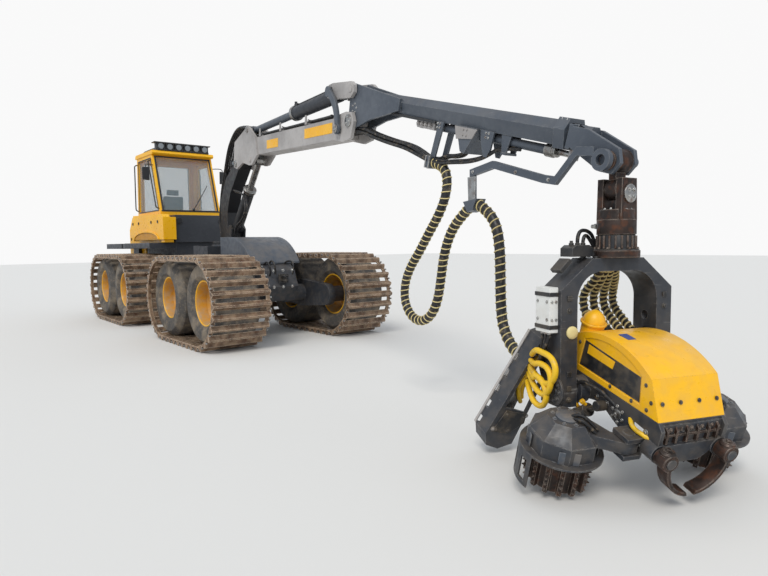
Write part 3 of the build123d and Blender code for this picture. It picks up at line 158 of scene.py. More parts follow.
class Finish:
    """One procedural material, made by chaining layers of colour."""

    def __init__(self, name, base, roughness, metal=0.0):
        self.material = bpy.data.materials.new(name)
        self.material.use_nodes = True
        self.tree = self.material.node_tree
        self.shader = self.tree.nodes["Principled BSDF"]
        self.base = tone(base)
        self.set(self.shader, {"Roughness": roughness, "Metallic": metal, "Base Color": self.base})
        self.colour = None
        self.place = self.node("ShaderNodeTexCoord").outputs["Object"]

    def set(self, node, values):
        for name, value in values.items():
            node.inputs[name].default_value = value

    def node(self, kind, values=None):
        node = self.tree.nodes.new(kind)
        self.set(node, values or {})
        return node

    def link(self, source, target):
        self.tree.links.new(source, target)

    def noise(self, scale, detail=4, stretch=None):
        """Noise value at that scale per metre."""
        texture = self.node("ShaderNodeTexNoise", {"Scale": scale, "Detail": detail})
        if stretch:
            mapping = self.node("ShaderNodeMapping", {"Scale": stretch})
            self.link(self.place, mapping.inputs["Vector"])
            self.link(mapping.outputs["Vector"], texture.inputs["Vector"])
        else:
            self.link(self.place, texture.inputs["Vector"])
        return texture.outputs["Fac"]

    def ramp(self, value, low, high, low_out=0.0, high_out=1.0):
        """Stretch a value so that low to high becomes low_out to high_out."""
        limits = {"From Min": low, "From Max": high, "To Min": low_out, "To Max": high_out}
        node = self.node("ShaderNodeMapRange", limits)
        self.link(value, node.inputs["Value"])
        return node.outputs["Result"]

    def times(self, first, second):
        node = self.node("ShaderNodeMath")
        node.operation = "MULTIPLY"
        node.use_clamp = True
        self.link(first, node.inputs[0])
        if isinstance(second, (int, float)):
            node.inputs[1].default_value = second
        else:
            self.link(second, node.inputs[1])
        return node.outputs["Value"]

    def layer(self, colour, mask):
        """Lay a colour over what is there, where the mask is white."""
        mix = self.node("ShaderNodeMix")
        mix.data_type = "RGBA"
        if self.colour is None:
            mix.inputs["A"].default_value = self.base
        else:
            self.link(self.colour, mix.inputs["A"])
        mix.inputs["B"].default_value = tone(colour)
        self.link(mask, mix.inputs["Factor"])
        self.colour = mix.outputs["Result"]

    def facing(self):
        return self.node("ShaderNodeNewGeometry").outputs["Normal"]

    def edges(self, radius, low=0.93, high=0.995):
        """Mask that is white on sharp edges."""
        bevel = self.node("ShaderNodeBevel", {"Radius": radius})
        bevel.samples = 4
        dot = self.node("ShaderNodeVectorMath")
        dot.operation = "DOT_PRODUCT"
        self.link(bevel.outputs["Normal"], dot.inputs[0])
        self.link(self.facing(), dot.inputs[1])
        return self.ramp(dot.outputs["Value"], high, low)

    def height(self, vector, low, high):
        """Mask from the third coordinate of a place or a direction."""
        split = self.node("ShaderNodeSeparateXYZ")
        self.link(vector, split.inputs["Vector"])
        return self.ramp(split.outputs["Z"], low, high)

    def rough(self, scale, low, high):
        """Roughness that varies over the surface."""
        self.link(self.ramp(self.noise(scale), 0.35, 0.65, low, high), self.shader.inputs["Roughness"])

    def bump(self, value, strength, distance=0.002):
        node = self.node("ShaderNodeBump", {"Strength": strength, "Distance": distance})
        self.link(value, node.inputs["Height"])
        self.link(node.outputs["Normal"], self.shader.inputs["Normal"])

    def done(self):
        if self.colour is not None:
            self.link(self.colour, self.shader.inputs["Base Color"])
        return self.material


sand = (168, 148, 120)
rust = (104, 62, 38)


def paint(name, base, faded, worn, roughness, wear=0.6, dust=0.35, radius=0.008):
    """Machine paint: faded patches, worn edges, and dust that settles on top and low down."""
    finish = Finish(name, base, roughness)
    finish.layer(faded, finish.ramp(finish.noise(1.7, 5), 0.42, 0.68, 0.0, 0.75))
    finish.layer(faded, finish.ramp(finish.noise(23, 6), 0.52, 0.72, 0.0, 0.4))
    chips = finish.times(finish.edges(radius), finish.ramp(finish.noise(34, 5), 0.38, 0.58))
    finish.layer(worn, finish.times(chips, wear))
    scratches = finish.ramp(finish.noise(9, 8, (1, 1, 9)), 0.66, 0.74)
    finish.layer(worn, finish.times(scratches, wear * 0.5))
    upward = finish.height(finish.facing(), 0.2, 0.9)
    settled = finish.times(upward, finish.ramp(finish.noise(6, 6), 0.3, 0.7))
    finish.layer(sand, finish.times(settled, dust))
    low_down = finish.height(finish.place, 1.8, 0.5)
    splashes = finish.times(low_down, finish.ramp(finish.noise(11, 8), 0.42, 0.62))
    finish.layer(sand, finish.times(splashes, dust))
    finish.rough(14, roughness - 0.08, roughness + 0.16)
    finish.bump(finish.noise(160, 3), 0.12, 0.0008)
    return finish.done()


def steel(name, base, dark, light, roughness, metal, radius=0.01):
    """Bare or rusty steel with darker patches and bright worn edges."""
    finish = Finish(name, base, roughness, metal)
    finish.layer(dark, finish.ramp(finish.noise(7, 7), 0.42, 0.62, 0.0, 0.9))
    finish.layer(rust, finish.ramp(finish.noise(19, 7), 0.5, 0.66, 0.0, 0.55))
    finish.layer(light, finish.times(finish.edges(radius), finish.ramp(finish.noise(26, 4), 0.3, 0.55)))
    finish.rough(22, roughness - 0.12, roughness + 0.2)
    finish.bump(finish.noise(90, 6), 0.35, 0.0015)
    return finish.done()


def rubber(name, base, mud, amount, roughness=0.75):
    finish = Finish(name, base, roughness)
    finish.layer(mud, finish.ramp(finish.noise(5, 8), 0.62 - amount * 0.3, 0.78 - amount * 0.2))
    finish.layer(sand, finish.ramp(finish.noise(31, 7), 0.55, 0.8, 0.0, 0.5))
    finish.rough(17, roughness - 0.1, roughness + 0.15)
    finish.bump(finish.noise(60, 6), 0.4, 0.002)
    return finish.done()


def clear_glass():
    finish = Finish("glass", (150, 165, 170), 0.04)
    finish.set(finish.shader, {"Alpha": 0.28, "IOR": 1.5})
    return finish.done()


def lamp_lens(name, base):
    finish = Finish(name, base, 0.12)
    finish.bump(finish.noise(240, 2), 0.3, 0.001)
    finish.set(finish.shader, {"Coat Weight": 0.8})
    return finish.done()


def make_materials():
    return {
        "dark_paint": paint("charcoal paint", (47, 50, 56), (60, 63, 69), (140, 138, 136), 0.45, 0.6, 0.1),
        "grey_paint": paint(
            "weathered grey paint", (176, 172, 169), (140, 136, 134), (96, 92, 90), 0.5, 0.6, 0.2
        ),
        "blue_grey_paint": paint(
            "blue grey paint", (70, 77, 87), (88, 94, 102), (150, 150, 148), 0.4, 0.5, 0.22
        ),
        "yellow_paint": paint("yellow paint", (250, 188, 8), (238, 172, 14), (120, 96, 60), 0.34, 0.45, 0.16),
        "rim_paint": paint("ochre paint", (206, 146, 40), (176, 126, 52), (110, 80, 50), 0.55, 0.7, 0.6),
        "white_paint": paint("white paint", (226, 226, 222), (206, 206, 200), (120, 120, 116), 0.5, 0.4, 0.2),
        "black_paint": paint("black paint", (30, 31, 34), (44, 45, 48), (120, 118, 114), 0.42, 0.5, 0.2),
        "shoe_steel": steel("shoe steel", (152, 128, 104), (88, 70, 56), (224, 204, 180), 0.5, 0.25, 0.014),
        "rust_steel": steel("rusty steel", (66, 52, 46), (40, 34, 32), (140, 128, 118), 0.5, 0.5),
        "steel": steel("bright steel", (168, 168, 166), (128, 126, 122), (205, 204, 200), 0.28, 0.9),
        "tyre": rubber("tyre rubber", (76, 73, 70), (124, 113, 98), 0.6),
        "hose": rubber("hose rubber", (26, 26, 28), (58, 54, 50), 0.1, 0.5),
        "guard": paint("spiral guard", (226, 208, 146), (192, 174, 120), (90, 84, 66), 0.5, 0.2, 0.3),
        "blue_label": paint("blue label", (34, 66, 140), (44, 74, 140), (110, 116, 130), 0.4, 0.3, 0.15),
        "yellow_hose": rubber("yellow hose guard", (236, 190, 30), (170, 136, 50), 0.2, 0.45),
        "seat": rubber("seat cloth", (44, 45, 50), (56, 57, 62), 0.1, 0.85), "glass": clear_glass(),
        "lens": lamp_lens("lamp lens", (128, 134, 138)), "red": lamp_lens("red lens", (150, 14, 10))
    }


materials = make_materials()


def soften(piece, width):
    """Small round edges."""
    bevel = piece.modifiers.new("soft edges", "BEVEL")
    bevel.width = width
    bevel.segments = 2
    bevel.limit_method = "ANGLE"
    bevel.angle_limit = radians(40)
    return bevel


def dress_nodes():
    """Each solid of the machine gets its finish, soft edges and smooth curves."""
    subparts = {part["node"]: part["material_slot"] for part in frame["record"]["subparts"]}
    for name, node in nodes.items():
        node.data.materials.clear()
        node.data.materials.append(materials[own_finish.get(name, subparts[name])])
        if name in no_soft_edges:
            continue
        weld = node.modifiers.new("weld", "WELD")
        weld.merge_threshold = 0.0002
        merge = node.modifiers.new("merge", "DECIMATE")
        merge.decimate_type = "DISSOLVE"
        merge.angle_limit = radians(1)
        soften(node, edge_width.get(name, 0.006)).harden_normals = True


no_soft_edges = ("cab_glass", "door_glass")
own_finish = {
    "front_frame": "dark_paint", "fold_arms": "blue_grey_paint", "hose_arm": "blue_grey_paint",
    "jib_barrel": "dark_paint", "jib_rod": "blue_grey_paint", "rotator": "black_paint"
}
edge_width = {"front_tracks": 0.004, "rear_tracks": 0.004}


def make_stage():
    """Plain pale floor and soft light."""
    floor_mesh = bpy.data.meshes.new("floor")
    reach = 60
    corners = [(-reach, -reach, 0), (reach, -reach, 0), (reach, reach, 0), (-reach, reach, 0)]
    floor_mesh.from_pydata(corners, [], [(0, 1, 2, 3)])
    floor_mesh.materials.append(Finish("floor", (222, 220, 216), 0.9).done())
    linked("floor", floor_mesh)
    world = bpy.data.worlds.new("world")
    bpy.context.scene.world = world
    world.use_nodes = True
    tree = world.node_tree
    sky = tree.nodes["Background"]
    sky.inputs["Color"].default_value = (0.86, 0.92, 1.0, 1)
    sky.inputs["Strength"].default_value = 0.75
    white = tree.nodes.new("ShaderNodeBackground")
    white.inputs["Color"].default_value = (1, 1, 1, 1)
    white.inputs["Strength"].default_value = 0.95
    path = tree.nodes.new("ShaderNodeLightPath")
    mix = tree.nodes.new("ShaderNodeMixShader")
    tree.links.new(path.outputs["Is Camera Ray"], mix.inputs["Fac"])
    tree.links.new(sky.outputs["Background"], mix.inputs[1])
    tree.links.new(white.outputs["Background"], mix.inputs[2])
    tree.links.new(mix.outputs["Shader"], tree.nodes["World Output"].inputs["Surface"])
    lamp = bpy.data.lights.new("soft sun", "SUN")
    lamp.energy = 1.7
    lamp.angle = radians(25)
    lamp.color = (1.0, 0.97, 0.92)
    linked("soft sun", lamp).rotation_euler = (radians(42), 0, radians(35))


# Forms for the pieces, in millimetres in the frame of what carries them

millimetres = Matrix.Scale(0.001, 4)
to_front, to_back, to_top, to_right = (1, 0, 0), (-1, 0, 0), (0, 0, 1), (0, -1, 0)


def placed(first, second, way, axis):
    """Point from two coordinates across an axis and one along it."""
    return {"x": (way, first, second), "y": (first, way, second), "z": (first, second, way)}[axis]


def stations(line):
    """Each point of a line with two directions across it that don't twist along the way."""
    found = []
    across = None
    for index, point in enumerate(line):
        ahead = (line[min(index + 1, len(line) - 1)] - line[max(index - 1, 0)]).normalized()
        across = ahead.orthogonal() if across is None else across - ahead * across.dot(ahead)
        across.normalize()
        found.append((point, across.copy(), ahead.cross(across)))
    return found


def wound(line, radius, pitch, per_turn=14):
    """Points of a coil round a line."""
    coil = []
    travelled = 0
    marks = stations(line)
    for (point, across, up), (after, across_after, up_after) in zip(marks, marks[1:]):
        length = (after - point).length
        steps = max(1, round(length / pitch * per_turn))
        for step in range(steps):
            share = step / steps
            turn = 2 * pi * (travelled + share * length) / pitch
            out = cos(turn) * across.lerp(across_after, share) + sin(turn) * up.lerp(up_after, share)
            coil.append(point.lerp(after, share) + radius * out.normalized())
        travelled += length
    return coil


class Shape:
    """A mesh piece put together from plates, turned forms and tubes."""

    def __init__(self, place):
        self.place = place @ millimetres
        self.mesh = bmesh.new()

    def skin(self, rings):
        rows = [[self.mesh.verts.new(self.place @ Vector(point)) for point in ring] for ring in rings]
        count = len(rows[0])
        for row, after in zip(rows, rows[1:]):
            for index in range(count):
                follow = (index + 1) % count
                self.mesh.faces.new((row[index], row[follow], after[follow], after[index]))
        self.mesh.faces.new(rows[0])
        self.mesh.faces.new(rows[-1])

    def plate(self, outline, low, high, axis="y"):
        """Outline in the plane across an axis, as thick as from low to high along it."""
        self.skin([[placed(*corner, way, axis) for corner in outline] for way in (low, high)])

    def block(self, low, high):
        (x0, y0, z0), (x1, y1, z1) = low, high
        self.plate(corners_of((x0, z0), (x1, z1)), y0, y1)

    def turned(self, start, end, profile, facets=24):
        """Profile of (share of the way, radius) turned about the line from start to end."""
        start, end = Vector(start), Vector(end)
        side = (end - start).orthogonal().normalized()
        outward = round_of(facets, side, (end - start).cross(side).normalized())
        self.skin([[start.lerp(end, share) + radius * out for out in outward] for share, radius in profile])

    def cap(self, start, end, radius, top, share=0.6, facets=28):
        """Round part that tapers to its top over the last of its height."""
        self.turned(start, end, [(0, radius), (share, radius), (1, top)], facets)

    def fitting(self, start, end, wide, narrow, share=0.5):
        """Hexagonal hose fitting of two widths."""
        self.turned(start, end, [(0, wide), (share, wide), (share, narrow), (1, narrow)], 6)

    def rod(self, start, end, radius, facets=20):
        self.turned(start, end, [(0, radius), (1, radius)], facets)

    def bolt(self, point, towards, radius=11, height=9):
        """Washer and hexagonal head on a surface that faces the given way."""
        point, towards = Vector(point), Vector(towards).normalized()
        self.rod(point - towards, point + 3 * towards, radius * 1.5, 16)
        self.turned(
            point + 2 * towards, point + (3 + height) * towards,
            [(0, radius), (0.8, radius), (1, radius * 0.8)], 6
        )

    def bolt_ring(self, centre, towards, ring, count, radius=11, height=9, start=0):
        towards = Vector(towards).normalized()
        side = towards.orthogonal().normalized()
        for out in round_of(count, side, towards.cross(side), start):
            self.bolt(Vector(centre) + ring * out, towards, radius, height)

    def border(self, corners, width, normal, thick=9):
        """Flat frame round an opening."""
        corners = [Vector(corner) for corner in corners]
        middle = sum(corners, Vector()) / len(corners)
        rise = thick * Vector(normal).normalized()
        outer = [corner + width * 1.4 * (corner - middle).normalized() for corner in corners]
        for index in range(len(corners)):
            ring = [corners[index - 1], corners[index], outer[index], outer[index - 1]]
            self.skin([ring, [corner + rise for corner in ring]])

    def tube(self, line, radius, facets=8):
        """Tube along a line of world points in metres."""
        back = self.place.inverted()
        rings = []
        for point, across, up in stations(line):
            rings.append([back @ (point + radius / 1000 * out) for out in round_of(facets, across, up)])
        self.skin(rings)

    def finish_blended(self, name, start, end, material):
        piece = self.made(name, material)
        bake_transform(piece)
        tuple(start)
        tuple(end)

    def finish(self, name, body, material, bevel=2.0):
        piece = self.made(name, material, bevel)
        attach(piece, body)
        return piece

    def made(self, name, material, bevel=0):
        bmesh.ops.recalc_face_normals(self.mesh, faces=self.mesh.faces)
        data = bpy.data.meshes.new(name)
        self.mesh.to_mesh(data)
        self.mesh.free()
        data.shade_smooth()
        data.set_sharp_from_angle(angle=radians(38))
        data.materials.append(materials[material])
        piece = linked(name, data)
        if bevel:
            soften(piece, bevel / 1000)
        return piece


# Free hoses: points in the crane's plane frame, repeated from the part's routes
hose_diameter = 0.085
guard_pitch = 0.060
guard_wire = 5.5
hose_side = -0.160
clamp_side = -0.060
hanger_route = [
    (7.150, -0.075, 2.245), (7.160, -0.095, 2.075), (7.075, -0.115, 1.895), (6.910, -0.120, 1.720),
    (6.740, -0.120, 1.530), (6.570, -0.120, 1.370), (6.465, -0.120, 1.190), (6.465, -0.120, 1.000),
    (6.590, -0.120, 0.860), (6.770, -0.120, 0.825), (6.940, -0.120, 0.905), (7.050, -0.120, 1.070),
    (7.100, -0.120, 1.280), (7.165, -0.135, 1.500), (7.280, -0.150, 1.700), (7.430, hose_side, 1.835),
    (7.580, hose_side, 1.925)
]
head_route = [
    (7.700, hose_side, 1.940), (7.830, hose_side, 1.870), (7.930, hose_side, 1.740),
    (7.965, hose_side, 1.540), (7.970, hose_side, 1.310), (7.975, hose_side, 1.090), (8.010, -0.165, 0.910)
]


def curve_tubes(name, routes, radius, steps=12, round_steps=5):
    """Smooth tubes along routes of world points in metres, as one curve."""
    data = bpy.data.curves.new(name, "CURVE")
    data.dimensions = "3D"
    for route in routes:
        spline = data.splines.new("NURBS")
        spline.points.add(len(route) - 1)
        for target, point in zip(spline.points, route):
            target.co = (*point, 1)
        spline.order_u = 3
        spline.use_endpoint_u = True
        spline.resolution_u = steps
    data.bevel_depth = radius
    data.bevel_resolution = round_steps
    data.use_fill_caps = True
    return linked(name, data)


def mesh_of(piece):
    bpy.context.view_layer.update()
    return bpy.data.meshes.new_from_object(piece.evaluated_get(bpy.context.evaluated_depsgraph_get()))


def line_of(piece):
    """Centre line of a curve, read from its spline with no bevel."""
    depth = piece.data.bevel_depth
    piece.data.bevel_depth = 0
    mesh = mesh_of(piece)
    points = [vertex.co.copy() for vertex in mesh.vertices]
    bpy.data.meshes.remove(mesh)
    piece.data.bevel_depth = depth
    return points


def length_of(points):
    return sum((after - before).length for before, after in zip(points, points[1:]))


def free_hose(name, points, body, node):
    """Free hose with the spiral guard wound on it."""
    piece = curve_tubes(name, [points], hose_diameter / 2)
    piece.data.materials.append(materials["hose"])
    line = line_of(piece)
    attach(piece, body)
    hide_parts(node)
    guard = Shape(Matrix())
    guard.tube(wound(line, hose_diameter / 2 + 0.002, guard_pitch), guard_wire, 6)
    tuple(points[0])
    length_of(line)
    guard.finish(name + "_guard", body, "guard", 0)


def hoses(name, place, routes, radius, body, material="hose", across=None):
    """Hoses that are fixed at both ends; across names a second body and where a bend would start and end, which
    are not used: with it the hoses are baked into a plain mesh that rides on no body.
    """
    lines = [[place @ millimetres @ Vector(point) for point in route] for route in routes]
    piece = curve_tubes(name, lines, radius / 1000, 8, 3)
    if across:
        mesh = mesh_of(piece)
        bpy.data.objects.remove(piece)
        piece = linked(name, mesh)
    piece.data.materials.append(materials[material])
    if across:
        second, start, end = across
        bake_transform(piece)
        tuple(start)
        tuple(end)
    else:
        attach(piece, body)


def row_of(points, offsets):
    """The same route beside itself, moved by each offset across the crane's plane and up."""
    return [[(s, y + aside, z + up) for s, y, z in points] for aside, up in offsets]


# Eyes of the crane's cylinders: the barrel's, then the rod's
jib_cylinder = (Vector((4900, 0, 3500)), Vector((1680, 0, 3580)))
lift_cylinder = (Vector((470, 0, 1930)), Vector((1800, 0, 3060)))

# Pieces on the crane


def dress_mast():
    lamps = Shape(crane)
    for low in (2990, 3120):
        lamps.turned((398, 0, low + 55), (406, 0, low + 55), [(0, 44), (0.6, 46), (1, 40)])
    lamps.finish("mast_lamp_lenses", "mast", "lens", 1)
    column = [(-300, 0, 1780), (-400, 0, 2030), (-330, 0, 2390), (-150, 0, 2800), (60, 0, 3080)]
    hoses(
        "mast_hoses", crane,
        row_of(column, [(-84, 0), (-42, 12), (0, 18), (42, 12), (84, 0), (-60, -44), (0, -34), (60, -44)]),
        22, "mast"
    )
    arc = [
        (60, 0, 3080), (265, 0, 3420), (612, 0, 3640), (929, 0, 3740), (1331, 0, 3700), (1760, 0, 3500),
        (1830, 0, 3460)
    ]
    pin = boom.translation
    hoses(
        "root_hoses", crane, row_of(arc, [(-84, 0), (-42, 12), (0, 18), (42, 12), (84, 0)]), 20, "mast",
        across=("boom", pin + Vector((-0.25, 0, 0)), pin + Vector((0.35, 0, 0)))
    )
    side = [
        (1000, -190, 1760), (1102, -200, 1942), (1449, -190, 2021), (1640, -180, 2187), (1489, -150, 2464),
        (1100, -125, 2560), (800, -118, 2600)
    ]
    hoses("mast_side_hoses", crane, row_of(side, [(0, 0), (-36, 30)]), 15, "mast")
    base = Shape(crane)
    base.bolt_ring((0, 0, 1640), to_top, 315, 16, 13, 12)
    base.finish("slew_bolts", "front", "steel", 1)


def dress_boom():
    pipes = Shape(boom)
    for y in (-92, -52, -12, 28, 68):
        pipes.rod((830, y, 424), (3770, y, 424), 13, 14)
        for end, other in ((830, 868), (3770, 3732)):
            pipes.rod((end, y, 424), (other, y, 424), 19, 6)
    pipes.finish("boom_pipes", "boom", "black_paint", 1)
    saddles = Shape(boom)
    for s in (1238, 2128, 3071):
        saddles.block((s - 28, -112, 381), (s + 28, 88, 404))
        saddles.block((s - 20, -112, 438), (s + 20, 88, 447))
        saddles.plate([(s - 34, 381), (s + 34, 381), (s + 22, 505), (s - 22, 505)], -150, -138)
        for y in (-106, 82):
            saddles.bolt((s, y, 447), to_top, 8, 8)
    saddles.finish("boom_pipe_brackets", "boom", "grey_paint", 3)
    for side, name in sides:
        label = Shape(boom)
        low, high = beside(side, 140, 143)
        label.block((1545, low, 160), (2027, high, 292))
        label.block((3017, low, 196), (3875, high, 326))
        label.finish("boom_label_" + name, "boom", "yellow_paint", 1)
    pins = Shape(boom)
    for point, face, size in (
        ((0, 0), 161, 62), ((4340, 299), 160, 74), ((642, 538), 161, 52), ((4115, 222), 217, 50)
    ):
        for side in (-1, 1):
            centre = (point[0], side * face, point[1])
            far = (point[0], side * (face + 16), point[1])
            pins.cap(centre, far, size, size - 8, 0.7)
            pins.bolt_ring(far, (0, side, 0), size * 0.55, 3, 8, 7)
    pins.finish("boom_pin_caps", "boom", "steel", 1)
    elbow = [(5060, -60, 2985), (5200, -60, 2950), (5380, -60, 2945), (5600, -60, 2895), (5790, -60, 2815)]
    elbow += [(6145, -60, 2691), (6441, -60, 2603), (6640, -60, 2520)]
    pin = jib.translation
    ends = [(0, 0), (40, 6), (-40, 4), (80, -4), (20, 44), (-20, 42), (60, 40)]
    to_crane = millimetres.inverted() @ crane.inverted() @ jib
    routes = []
    for route in row_of(elbow, ends):
        at_clamp = to_crane @ Vector((1.640, route[0][1] / 1000, -0.190))
        routes.append(route + [tuple(at_clamp)])
    turned = crane.to_3x3()
    start, end = pin + turned @ Vector((-0.12, 0, -0.1)), pin + turned @ Vector((0.3, 0, -0.2))
    hoses("elbow_hoses", crane, routes, 18, "boom", across=("jib", start, end))
    collar = Shape(crane)
    foot, top = jib_cylinder
    way = (top - foot).normalized()
    mouth = foot + 1480 * way
    collar.turned(mouth - 60 * way, mouth + 22 * way, [(0, 92), (0.1, 112), (0.8, 112), (1, 96)], 32)
    collar.turned(mouth + 22 * way, mouth + 40 * way, [(0, 78), (1, 70)], 32)
    collar.finish("jib_cylinder_gland", "jib_barrel", "steel", 2)
    fittings = Shape(crane)
    for distance in (180, 1400):
        point = foot + distance * way
        fittings.block(point + Vector((-42, -40, 80)), point + Vector((42, 40, 124)))
        fittings.rod(point + Vector((0, -30, 124)), point + Vector((0, -30, 150)), 22, 6)
    fittings.rod(foot + 200 * way + Vector((0, 0, 108)), foot + 1390 * way + Vector((0, 0, 108)), 12, 14)
    fittings.finish("jib_cylinder_ports", "jib_barrel", "black_paint", 2)
    lift = Shape(crane)
    start, end = lift_cylinder
    way = (end - start).normalized()
    lift.turned(start + 1000 * way, start + 1078 * way, [(0, 95), (0.1, 116), (0.8, 116), (1, 80)], 32)
    lift.finish("lift_cylinder_gland", "lift_barrel", "steel", 2)
    ports = Shape(crane)
    across = Vector((way.z, 0, -way.x))
    for distance in (180, 960):
        point = start + distance * way + 95 * across
        ports.fitting(point - 20 * across, point + 40 * across, 34, 24, 0.6)
    ports.rod(start + 180 * way + 126 * across, start + 960 * way + 126 * across, 12, 14)
    ports.finish("lift_cylinder_ports", "lift_barrel", "black_paint", 2)


def dress_jib():
    plates = Shape(jib)
    for centre in (1760, 2480):
        plates.bolt_ring((centre - 60, -80, 150), to_right, 26, 4, 8, 7)
    plates.bolt_ring((30, -115, 150), to_right, 50, 5, 9, 8)
    for s in (3210, 3260):
        for y in (-70, 0, 70):
            plates.bolt((s, y, 372), to_top, 9, 8)
    plates.finish("jib_bolts", "jib", "steel", 1)
    guide = Shape(jib)
    for y in (-58, 42):
        guide.plate([(2574, 182), (2696, 182), (2664, 30), (2612, 30)], y, y + 16)
    guide.block((2606, -64, 22), (2670, 64, 40))
    guide.finish("jib_hose_guide", "jib", "blue_grey_paint", 3)
    rail = Shape(jib)
    rail.block((825, -88, 158), (1640, -64, 182))
    rail.block((825, 64, 158), (1640, 88, 182))
    rail.finish("jib_under_rails", "jib", "black_paint", 3)
    valve = Shape(jib)
    valve.block((1293, -52, 92), (1600, 52, 182))
    for s in (1330, 1400, 1470, 1540):
        valve.fitting((s, -52, 132), (s, -84, 132), 20, 14)
    valve.finish("jib_valve_strip", "jib", "grey_paint", 3)
    top = Shape(jib)
    top.plate([(2000, 182), (2320, 182), (2268, 96), (2044, 70)], -118, -110)
    top.bolt_ring((2160, -118, 140), to_right, 34, 4, 7, 6)
    top.finish("jib_guard_panel", "jib", "grey_paint", 2)
    fan = [(1690, -40, -180), (1800, -36, -120), (1932, -26, -104), (2060, -16, -60), (2100, -10, 20)]
    hoses("jib_fan_hoses", jib, row_of(fan, [(0, 0), (26, 12), (52, -4)]), 14, "jib")
    lower = [
        (1690, -90, -190), (1830, -96, -190), (2020, -92, -150), (2240, -84, -110), (2430, -70, -40),
        (2560, -40, 70), (2800, -30, 90)
    ]
    hoses("jib_lower_hoses", jib, row_of(lower, [(0, 0), (22, 22)]), 14, "jib")
    clamp = Shape(jib)
    for s in (1622, 1678):
        clamp.block((s - 9, -118, -263), (s + 9, -2, -144))
    for y in (-100, -60, -20):
        clamp.bolt((1650, y, -257), (0, 0, -1), 8, 8)
    clamp.finish("jib_hose_clamp", "jib", "steel", 2)
    glands = Shape(jib)
    glands.turned((3060, 0, 132), (3172, 0, 132), [(0, 38), (0.05, 52), (0.7, 52), (0.75, 44), (1, 44)], 28)
    glands.rod((1290, 0, 132), (1330, 0, 132), 48, 28)
    glands.finish("tele_cylinder_gland", "jib", "steel", 1.5)


def dress_tip():
    caps = Shape(jib)
    for side in (-1, 1):
        caps.cap((3720, side * 95, 153), (3720, side * 117, 153), 66, 54, 0.6, 32)
        caps.bolt_ring((3720, side * 117, 153), (0, side, 0), 38, 4, 8, 7)
    caps.finish("tip_pin_caps", "telescope", "rust_steel", 1.5)
    link = Shape(crane)
    centre = tip_reach * 1000
    for side in (-1, 1):
        face = centre + side * 100
        link.cap((face, 0, 1935), (face + side * 18, 0, 1935), 62, 52, 0.6, 32)
        link.bolt_ring((face + side * 18, 0, 1935), (side, 0, 0), 34, 4, 8, 7)
    link.bolt_ring((centre, 0, 1830), to_top, 96, 12, 8, 9)
    link.finish("rotator_link_fittings", "rotator_link", "steel", 1)
    ring = Shape(crane)
    ring.turned((centre, 0, 1556), (centre, 0, 1500), [(0, 146), (0.1, 156), (0.9, 156), (1, 146)], 40)
    for out in spokes(20):
        ring.rod(Vector((centre, 0, 1566)) + 127 * out, Vector((centre, 0, 1652)) + 127 * out, 8, 8)
    ring.bolt_ring((centre, 0, 1562), to_top, 140, 12, 8, 10)
    ring.finish("rotator_ribs", "yoke", "rust_steel", 1)
    fittings = Shape(crane)
    for y in (-50, -17, 17, 50):
        start = Vector((centre - 122, y, 1720))
        fittings.fitting(start, start + Vector((-44, 0, 0)), 20, 15, 0.4)
    fittings.finish("rotator_ports", "rotator_link", "steel", 1)
    arm = Shape(crane)
    for s, z in ((8500, 2072), (8160, 2165), (7640, 2222)):
        arm.bolt((s, -180, z), to_right, 10, 9)
    arm.plate([(7590, 2180), (7690, 2180), (7680, 1960), (7600, 1960)], -196, -184)
    arm.finish("hose_arm_bolts", "telescope", "steel", 1.5)


# Pieces on the head and what carries it


